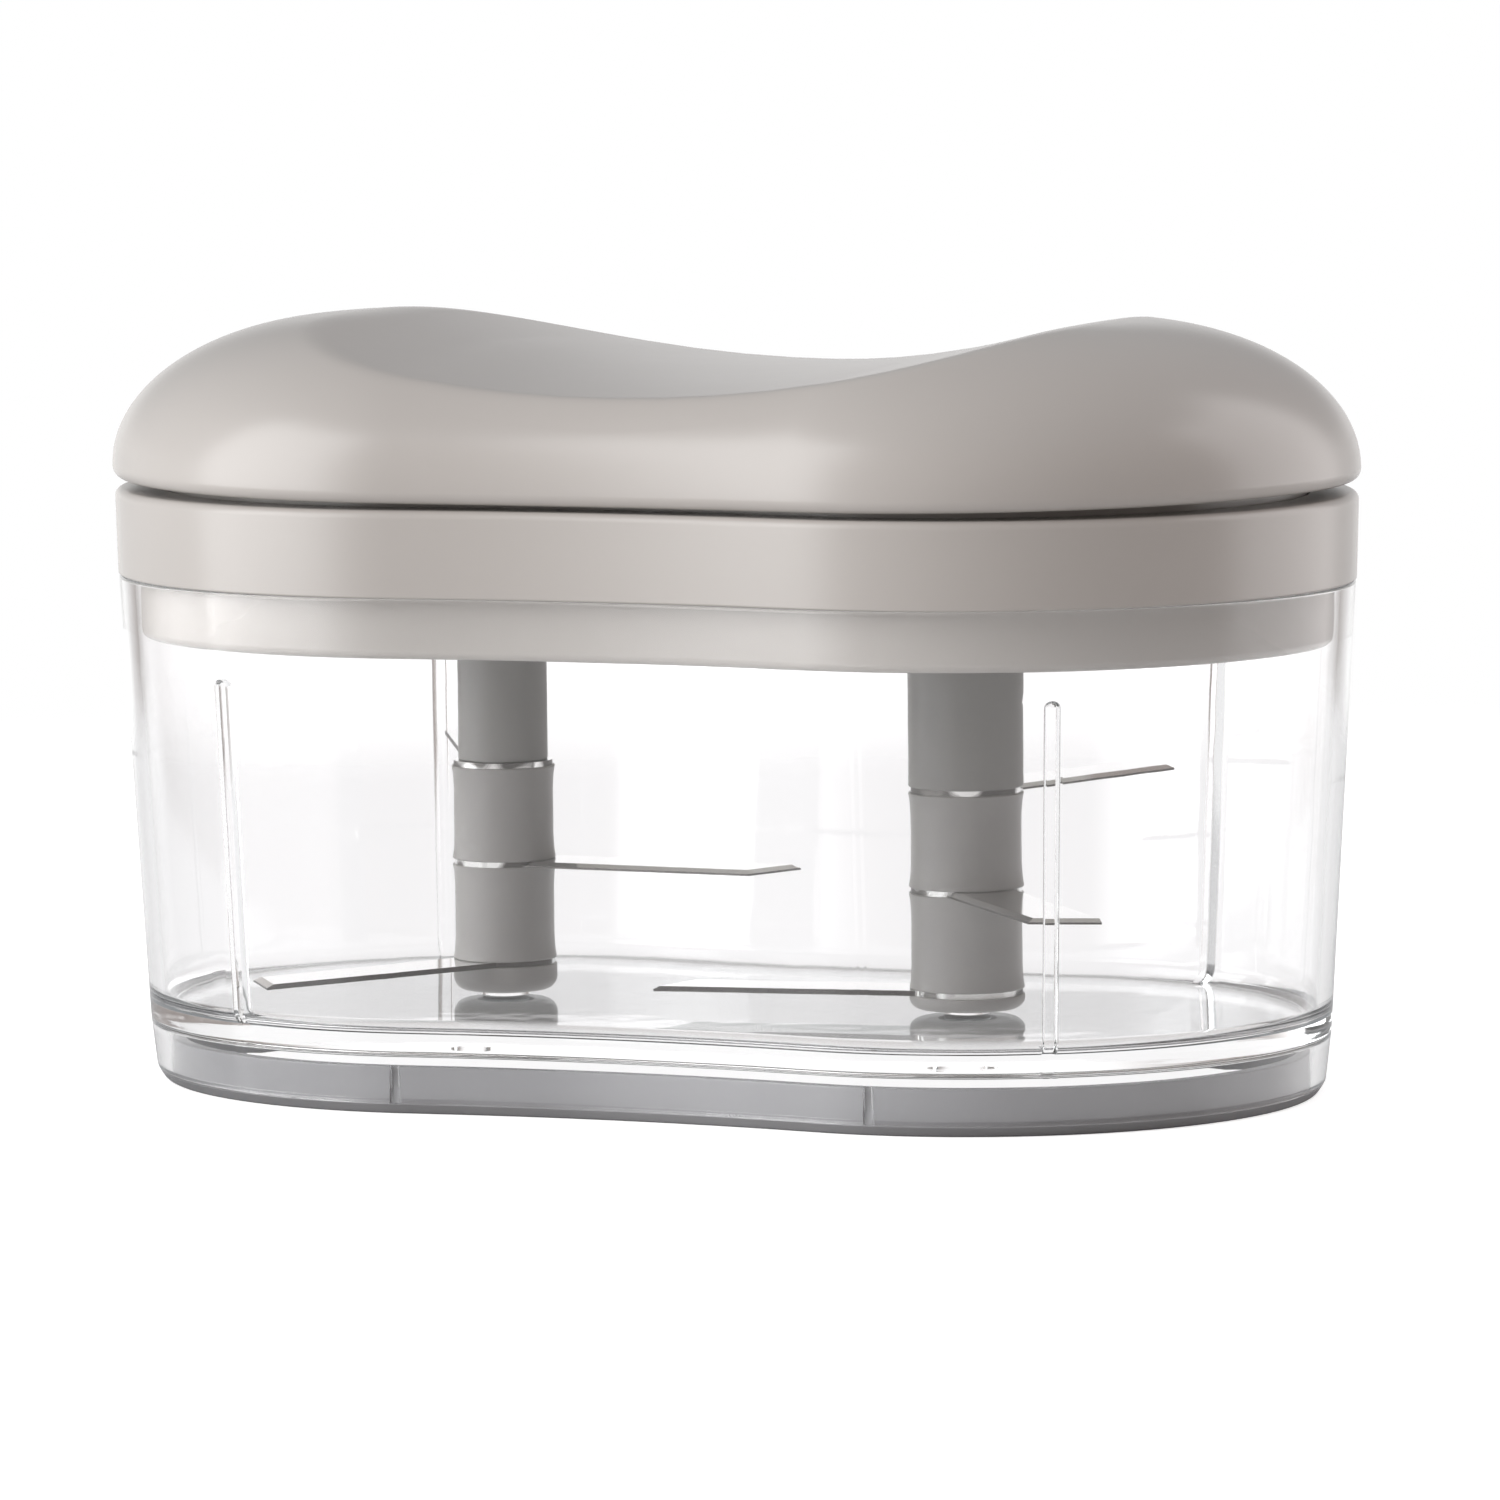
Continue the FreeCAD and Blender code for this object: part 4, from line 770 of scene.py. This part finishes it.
seal_rubber, seal_tree, seal_shader = new_material("seal_rubber")
use_skin(seal_tree, seal_shader, {"Color": (0.55, 0.55, 0.545, 1), "Shade": 0.04,
                                  "Roughness": 0.55, "Gloss Shift": 0.1, "Grain Scale": 1500.0,
                                  "Grain Depth": 0.3})
seal_shader.inputs["IOR"].default_value = 1.41
dress("lid_seal", seal_rubber)


# Bushes and drive sleeves
# White acetal bushes are pressed into the lid's bosses. In each turns a sleeve with two spiral
# grooves, which the rod's cross pin drives round, and a hexagon foot that enters the rotor.

bearing_plastic, bearing_tree, bearing_shader = new_material("bearing_plastic")
use_skin(bearing_tree, bearing_shader, {"Color": (0.74, 0.735, 0.71, 1), "Shade": 0.04,
                                        "Roughness": 0.38, "Gloss Shift": 0.1,
                                        "Grain Scale": 2000.0, "Grain Depth": 0.2})
bearing_shader.inputs["IOR"].default_value = 1.48
for hand in ("left", "right"):
    dress(f"bush_{hand}", bearing_plastic)
    dress(f"drive_sleeve_{hand}", bearing_plastic)


# Retainer plate
# A zinc-plated plate, punched from steel sheet, that two screws hold down over both sleeves.
# The return spring stands on it.

plate_steel = steel_material("plate_steel", (0.55, 0.55, 0.56, 1.0), roughness=0.34,
                             scratches=0.2, stretch=(0.08, 1.0, 1.0))
screw_steel = steel_material("screw_steel", (0.60, 0.60, 0.58, 1.0), roughness=0.3,
                             scratches=0.15, stretch=(1.0, 1.0, 1.0))
dress("retainer_plate", plate_steel)
dress("retainer_screws", screw_steel)


# Return spring
# A cold-coiled spring in 1.4 mm steel wire that lifts the cover when the hand lets go. It
# stands in the retainer plate and round the frame's guide.

wire_radius = 0.7
coil_radius = 9.5
coil_foot = 80.35
coil_top = 92.85
coil_turns = 4
steps_in_turn = 48

spring_steel = steel_material("spring_steel", (0.5, 0.5, 0.51, 1.0), roughness=0.3,
                              scratches=0.1, stretch=(1.0, 1.0, 1.0))
bpy.ops.object.select_all(action="DESELECT")
bpy.ops.mesh.primitive_circle_add(vertices=14, radius=wire_radius * MM,
                                  location=(coil_radius * MM, 0, coil_foot * MM),
                                  rotation=(math.pi / 2, 0, 0))
spring = bpy.context.object
spring.name = "coil_spring"
bpy.ops.object.transform_apply(location=True, rotation=True)
winding = spring.modifiers.new("winding", "SCREW")
winding.axis = "Z"
winding.angle = 2 * math.pi * coil_turns
winding.screw_offset = (coil_top - coil_foot) * MM
winding.steps = steps_in_turn * coil_turns
winding.render_steps = steps_in_turn * coil_turns
winding.use_merge_vertices = False
bpy.ops.object.modifier_apply(modifier=winding.name)
bpy.ops.object.mode_set(mode="EDIT")
bpy.ops.mesh.select_mode(type="EDGE")
bpy.ops.mesh.select_all(action="DESELECT")
bpy.ops.mesh.select_non_manifold()
bpy.ops.mesh.edge_face_add()
bpy.ops.mesh.select_mode(type="VERT")
close_mesh(50.0)
spring.data.materials.append(spring_steel)
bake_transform(spring)
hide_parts("return_spring")


# Lid ring
# The warm grey ring that shows between the bowl and the cover, in satin ABS. It snaps over
# the plug's flange, and its inward deck keeps the cover's frame from coming out.

cover_colour = (0.56, 0.53, 0.505, 1.0)
ring_section = ((0.35, 76.0, 0.35), (0.0, 88.9, 1.3), (7.2, 88.9, 0.4), (7.2, 86.9, 0.3),
                (2.4, 86.9, 0.0), (2.4, 80.2, 0.0), (1.9, 80.2, 0.0), (1.9, 76.0, 0.35))

cover_plastic, cover_tree, cover_shader = new_material("cover_plastic")
use_skin(cover_tree, cover_shader, {"Color": cover_colour, "Shade": 0.02, "Roughness": 0.24,
                                    "Gloss Shift": 0.05, "Grain Scale": 2400.0,
                                    "Grain Depth": 0.06})
cover_shader.inputs["IOR"].default_value = 1.52

ring = draw_section("lid_ring_piece", ring_section)
spin_outline()
close_mesh()
ring.data.materials.append(cover_plastic)
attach(ring, "lid")
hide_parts("lid_ring")


# Cover frame, rods and cross pins
# The frame hangs below the cover and slides in the lid's ring. Each steel rod drops into it by
# a hexagon head, so that it can't turn, and carries a pressed-in cross pin at its foot.

rod_steel = steel_material("rod_steel", (0.62, 0.62, 0.62, 1.0), roughness=0.22,
                           scratches=0.15, stretch=(1.0, 1.0, 6.0))
dress("cover_frame", lid_plastic)
dress("frame_screws", screw_steel)
for hand in ("left", "right"):
    dress(f"spindle_{hand}", rod_steel)
    dress(f"cross_pin_{hand}", rod_steel)


# Cover
# One satin ABS shell, domed all round, with a saddle for the palm across it. The saddle meets
# the dome in a crease. Inside, four posts take the frame's screws and two keep the rods down.

shell_wall = 2.4
overhang = 0.3
dome_start = 92.4
dome_reach = 35.3
dome_rise = 21.9
saddle_height = 106.7
saddle_radius = 214.0
saddle_crown = 675.0
lower_edge = 89.7
edge_band = 1.2
edge_lift = 0.9
lift_reach = 100.0
outer_rounding = 1.8
inner_rounding = 0.4
crease_width = 4.0
crease_rounding = 0.9
dome_rows = 26
crease_rows = 16
saddle_rows = 14
row_step = 0.5
post_radius = 3.5
post_foot = 96.0
post_places = ((-66, 0, 112.6), (66, 0, 112.6), (0, -30, 105.2), (0, 30, 105.2))
post_chamfer = 0.4
chamfer_drop = 0.15
screw_hole = 1.35
hole_depth = 7.5
stop_foot = 98.5
stop_head = 108.8


def dome_height(run):
    """The dome's height at a run in from the cover's widest line."""
    share = max(0.0, 1 - run / dome_reach)
    return dome_start + dome_rise * math.sqrt(1 - share * share)


def saddle_at(place):
    """The saddle's height over a place."""
    return (saddle_height + place.x ** 2 / (2 * saddle_radius)
            - place.y ** 2 / (2 * saddle_crown))


def cover_top(run, place):
    """The cover's height: the lower of dome and saddle, with their crease rounded."""
    dome, saddle = dome_height(run), saddle_at(place)
    near = max(0.0, 1 - abs(dome - saddle) / crease_rounding)
    return min(dome, saddle) - near * near * crease_rounding / 4


def way_in(place):
    """From a place on the widest line, the level way in and how far the middle line is."""
    lean = lobe_offset * abs(place.y) / waist_centre
    if abs(place.x) < lobe_offset - lean:
        way = (place - Vector((0, math.copysign(waist_centre, place.y)))).normalized()
        return way, abs(place.y / way.y)
    way = Vector((math.copysign(lobe_offset, place.x), 0)) - place
    return way.normalized(), way.length


def inset_of(place):
    """How far inside the outline a place lies, in mm."""
    lean = lobe_offset * abs(place.y) / waist_centre
    if abs(place.x) < lobe_offset - lean:
        return (place - Vector((0, math.copysign(waist_centre, place.y)))).length - waist_radius
    return lobe_radius - math.hypot(abs(place.x) - lobe_offset, place.y)


def find_crease(place, way, reach):
    """How far in from a place on the widest line the dome meets the saddle."""
    low, high = 0.0, reach
    for _ in range(30):
        run = (low + high) / 2
        if dome_height(run) < saddle_at(place + way * run):
            low = run
        else:
            high = run
    return low


def row_run(row, crease, reach):
    """How far in a row of the cover lies: close together low on the dome and at the crease."""
    if row <= dome_rows:
        return (crease - crease_width) * (1 - math.cos(row / dome_rows * math.pi / 2))
    row -= dome_rows
    if row <= crease_rows:
        share = 2 * row / crease_rows - 1
        return crease + crease_width * share * abs(share) ** 0.5
    share = (row - crease_rows) / saddle_rows
    return crease + crease_width + (reach - crease - crease_width) * share


cover_height_rows = 1 + dome_rows + crease_rows + saddle_rows
cover = draw_section("cover_piece", [
    (-overhang, lower_edge + row * row_step, 0.0) for row in range(cover_height_rows + 1)],
    closed=False)
# The big glossy cover has its columns closer together than the pieces below it.
widest_step = 3.0
spin_outline()
cover_mesh = bmesh.from_edit_mesh(cover.data)
for vertex in cover_mesh.verts:
    row = round((vertex.co.z / MM - lower_edge) / row_step)
    place = vertex.co.xy / MM
    if row == 0:
        vertex.co.z = (lower_edge + edge_lift * (place.x / lift_reach) ** 2) * MM
        continue
    way, reach = way_in(place)
    run = row_run(row - 1, find_crease(place, way, reach), reach)
    place += way * run
    vertex.co = Vector((place.x, place.y, cover_top(run, place))) * MM
bmesh.update_edit_mesh(cover.data)
bpy.ops.mesh.select_all(action="SELECT")
bpy.ops.mesh.remove_doubles(threshold=merge_gap * MM)
bpy.ops.mesh.normals_make_consistent(inside=False)
bpy.ops.object.mode_set(mode="OBJECT")
wall = cover.modifiers.new("wall", "SOLIDIFY")
wall.thickness = shell_wall * MM
wall.offset = -1
wall.use_even_offset = True
bpy.ops.object.modifier_apply(modifier=wall.name)
bpy.ops.object.mode_set(mode="EDIT")
for wall_side, rounding in ((-overhang, outer_rounding),
                            (shell_wall - overhang, inner_rounding)):
    pick(lambda spot: spot.z < (lower_edge + edge_band) * MM
         and abs(inset_of(spot.xy / MM) - wall_side) < 0.2)
    bpy.ops.mesh.bevel(offset=rounding * MM, segments=6, affect="EDGES")
posts = [(x, y, post_foot, head) for x, y, head in post_places]
rod_stops = [(rotor_offset * side, 0, stop_foot, stop_head) for side in (-1, 1)]
for x, y, foot, head in posts + rod_stops:
    bpy.ops.mesh.select_all(action="DESELECT")
    bpy.ops.mesh.primitive_cylinder_add(vertices=32, radius=post_radius * MM,
                                        depth=(head - foot) * MM,
                                        location=(x * MM, y * MM, (head + foot) / 2 * MM))
    pick(lambda spot: abs(spot.z - foot * MM) < 0.01 * MM)
    bpy.ops.mesh.inset(thickness=post_chamfer * MM)
    bpy.ops.transform.translate(value=(0, 0, -chamfer_drop * MM))
    if foot == post_foot:
        bpy.ops.mesh.inset(thickness=(post_radius - post_chamfer - screw_hole) * MM)
        rise = (0, 0, hole_depth * MM)
        bpy.ops.mesh.extrude_region_move(TRANSFORM_OT_translate={"value": rise})
close_mesh()
cover.data.materials.append(cover_plastic)
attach(cover, "cover")
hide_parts("cover_shell")


# Floor, light and camera
# A white table in a dim warm room, with a wide soft light on the left, a window on the right
# and a white wall behind, seen through a long lens from a little above.

table_radius = 0.6
view_turn = 21.8647
view_distance = 1500.0
view_height = 201.283
view_shift = 2.4708
view_pitch = 5.7755
view_roll = -0.51567
lens = 242.81
soft_light = (1.0, 1.0, 1.0, 1.0)
light_strength = 4.0
window = (0.50, 0.485, 0.485, 1.0)
dim_room = (0.088, 0.078, 0.073, 1.0)
white_wall = (0.245, 0.245, 0.245, 1.0)
far_wall = (0.3, 0.3, 0.3, 1.0)
side_wall = (0.17, 0.17, 0.17, 1.0)
upper_wall = (0.075, 0.077, 0.08, 1.0)
ceiling = (0.062, 0.064, 0.067, 1.0)
seen_table = 0.68
table_through_bowl = 0.95
matt_seen = 0.9
matt_through_bowl = 0.08
table_tones = (0.64, 0.66)

bpy.ops.object.select_all(action="DESELECT")
bpy.ops.mesh.primitive_circle_add(vertices=96, radius=table_radius, fill_type="NGON")
floor = bpy.context.object
floor.name = "table_top"
table, table_tree, table_shader = new_material("white_table")
table.cycles.emission_sampling = "NONE"
table_shader.inputs["Roughness"].default_value = 0.15
table_shader.inputs["IOR"].default_value = 1.49
spot = table_tree.nodes.new("ShaderNodeTexCoord")
cloud = table_tree.nodes.new("ShaderNodeTexNoise")
cloud.inputs["Scale"].default_value = 3.0
tone = table_tree.nodes.new("ShaderNodeMapRange")
tone.inputs["To Min"].default_value = table_tones[0]
tone.inputs["To Max"].default_value = table_tones[1]
table_tree.links.new(spot.outputs["Object"], cloud.inputs["Vector"])
table_tree.links.new(cloud.outputs["Fac"], tone.inputs["Value"])
table_tree.links.new(tone.outputs["Result"], table_shader.inputs["Base Color"])
# Looked at, straight or through the bowl, the table is white and matt, and keeps the shadow.
matt = table_tree.nodes.new("ShaderNodeBsdfDiffuse")
seen_white = table_tree.nodes.new("ShaderNodeEmission")
lit = table_tree.nodes.new("ShaderNodeAddShader")
table_mix = table_tree.nodes.new("ShaderNodeMixShader")
rays = table_tree.nodes.new("ShaderNodeLightPath")
direct = table_tree.nodes.new("ShaderNodeMath")
direct.operation = "MULTIPLY"
direct.inputs[1].default_value = seen_table
through = table_tree.nodes.new("ShaderNodeMath")
through.operation = "MULTIPLY_ADD"
through.inputs[1].default_value = table_through_bowl
table_tree.links.new(rays.outputs["Is Camera Ray"], direct.inputs[0])
table_tree.links.new(rays.outputs["Is Transmission Ray"], through.inputs[0])
table_tree.links.new(direct.outputs[0], through.inputs[2])
matt_share = table_tree.nodes.new("ShaderNodeMath")
matt_share.operation = "MULTIPLY_ADD"
matt_share.inputs[1].default_value = matt_through_bowl - matt_seen
matt_share.inputs[2].default_value = matt_seen
table_tree.links.new(rays.outputs["Is Transmission Ray"], matt_share.inputs[0])
table_tree.links.new(matt_share.outputs[0], matt.inputs["Color"])
looked_at = table_tree.nodes.new("ShaderNodeMath")
looked_at.operation = "MAXIMUM"
table_tree.links.new(rays.outputs["Is Camera Ray"], looked_at.inputs[0])
table_tree.links.new(rays.outputs["Is Transmission Ray"], looked_at.inputs[1])
table_tree.links.new(through.outputs[0], seen_white.inputs["Strength"])
table_tree.links.new(matt.outputs["BSDF"], lit.inputs[0])
table_tree.links.new(seen_white.outputs["Emission"], lit.inputs[1])
table_tree.links.new(looked_at.outputs[0], table_mix.inputs["Fac"])
table_tree.links.new(table_shader.outputs["BSDF"], table_mix.inputs[1])
table_tree.links.new(lit.outputs["Shader"], table_mix.inputs[2])
away = table_tree.nodes.new("ShaderNodeVectorMath")
away.operation = "LENGTH"
fade = table_tree.nodes.new("ShaderNodeMapRange")
fade.interpolation_type = "SMOOTHSTEP"
fade.inputs["From Min"].default_value = table_radius * 0.7
fade.inputs["From Max"].default_value = table_radius * 0.99
gone = table_tree.nodes.new("ShaderNodeBsdfTransparent")
edge_mix = table_tree.nodes.new("ShaderNodeMixShader")
table_tree.links.new(spot.outputs["Object"], away.inputs[0])
table_tree.links.new(away.outputs["Value"], fade.inputs["Value"])
table_tree.links.new(fade.outputs["Result"], edge_mix.inputs["Fac"])
table_tree.links.new(table_mix.outputs["Shader"], edge_mix.inputs[1])
table_tree.links.new(gone.outputs["BSDF"], edge_mix.inputs[2])
table_tree.links.new(edge_mix.outputs["Shader"],
                     table_tree.nodes["Material Output"].inputs["Surface"])
floor.data.materials.append(table)

world = bpy.data.worlds.new("studio")
bpy.context.scene.world = world
world.use_nodes = True
room, link = world.node_tree.nodes, world.node_tree.links.new
view = room.new("ShaderNodeTexCoord")
# Turns round the room are counted from straight behind the chopper, as the camera sees it.
facing = room.new("ShaderNodeVectorRotate")
facing.rotation_type = "Z_AXIS"
facing.inputs["Angle"].default_value = -math.radians(view_turn + 90)
parts = room.new("ShaderNodeSeparateXYZ")
round_turn = room.new("ShaderNodeMath")
round_turn.operation = "ARCTAN2"
turn_share = room.new("ShaderNodeMapRange")
turn_share.inputs["From Min"].default_value = -math.pi
turn_share.inputs["From Max"].default_value = math.pi
link(view.outputs["Generated"], facing.inputs["Vector"])
link(facing.outputs["Vector"], parts.inputs["Vector"])
link(parts.outputs["Y"], round_turn.inputs[0])
link(parts.outputs["X"], round_turn.inputs[1])
link(round_turn.outputs[0], turn_share.inputs["Value"])


def wall_round(stops):
    """The colours met by turning once round the room at one height, from the viewer's back."""
    ramp = room.new("ShaderNodeValToRGB")
    ramp.color_ramp.interpolation = "EASE"
    elements = ramp.color_ramp.elements
    for index, (angle, colour) in enumerate(stops):
        share = (angle + 180) / 360
        element = elements[index] if index < len(elements) else elements.new(share)
        element.position = share
        element.color = colour
    link(turn_share.outputs["Result"], ramp.inputs["Fac"])
    return ramp.outputs["Color"]


def change_with_height(start, end, below, above):
    """Goes from the colours below to those above between two heights in degrees."""
    share = room.new("ShaderNodeMapRange")
    share.interpolation_type = "SMOOTHSTEP"
    share.inputs["From Min"].default_value = math.sin(math.radians(start))
    share.inputs["From Max"].default_value = math.sin(math.radians(end))
    mix = room.new("ShaderNodeMix")
    mix.data_type = "RGBA"
    link(parts.outputs["Z"], share.inputs["Value"])
    link(share.outputs["Result"], mix.inputs["Factor"])
    link(below, mix.inputs[6])
    link(above, mix.inputs[7])
    return mix.outputs[2]


overhead = room.new("ShaderNodeRGB").outputs[0]
overhead.default_value = ceiling
window_side = ((-180, dim_room), (-104, dim_room), (-92, window), (-50, window))
lamp_side = ((86, soft_light), (122, soft_light), (142, dim_room), (180, dim_room))
wall_between = ((-40, side_wall), (-28, side_wall), (-18, white_wall), (18, white_wall),
                (28, side_wall), (80, side_wall))
upper_between = ((-40, upper_wall), (80, upper_wall))
lower_room = change_with_height(4, 14, wall_round(window_side + wall_between + lamp_side),
                                wall_round(window_side + upper_between + lamp_side))
room_light = room["Background"]
room_light.inputs["Strength"].default_value = light_strength
link(change_with_height(44, 56, lower_room, overhead), room_light.inputs["Color"])
backdrop = room.new("ShaderNodeBackground")
backdrop.inputs["Strength"].default_value = 1.0
backdrop.inputs["Color"].default_value = (1, 1, 1, 1)
paths = room.new("ShaderNodeLightPath")
through_bowl = room.new("ShaderNodeBackground")
through_bowl.inputs["Strength"].default_value = light_strength
# Behind the clear bowl the white wall is narrower, which draws the bowl's edges and ribs grey.
narrow_wall = ((-180, dim_room), (-34, dim_room), (-12, far_wall), (12, far_wall),
               (34, dim_room))
link(change_with_height(8, 14, wall_round(narrow_wall + lamp_side),
                        wall_round(((-180, dim_room), (60, dim_room)) + lamp_side)),
     through_bowl.inputs["Color"])
through = room.new("ShaderNodeMixShader")
link(paths.outputs["Is Transmission Ray"], through.inputs["Fac"])
link(room_light.outputs[0], through.inputs[1])
link(through_bowl.outputs[0], through.inputs[2])
choose = room.new("ShaderNodeMixShader")
link(paths.outputs["Is Camera Ray"], choose.inputs["Fac"])
link(through.outputs[0], choose.inputs[1])
link(backdrop.outputs[0], choose.inputs[2])
link(choose.outputs[0], room["World Output"].inputs["Surface"])

turn = math.radians(view_turn)
camera_data = bpy.data.cameras.new("camera")
camera_data.lens = lens
camera_data.sensor_width = 36.0
camera_data.clip_end = 20.0
camera = bpy.data.objects.new("camera", camera_data)
bpy.context.scene.collection.objects.link(camera)
camera.location = Vector((math.sin(turn) * view_distance + math.cos(turn) * view_shift,
                          -math.cos(turn) * view_distance + math.sin(turn) * view_shift,
                          view_height)) * MM
camera.rotation_euler = (math.radians(90 - view_pitch), 0, turn)
camera.rotation_euler.rotate_axis("Z", math.radians(view_roll))
bpy.context.scene.camera = camera
bpy.context.scene.view_settings.view_transform = "Standard"
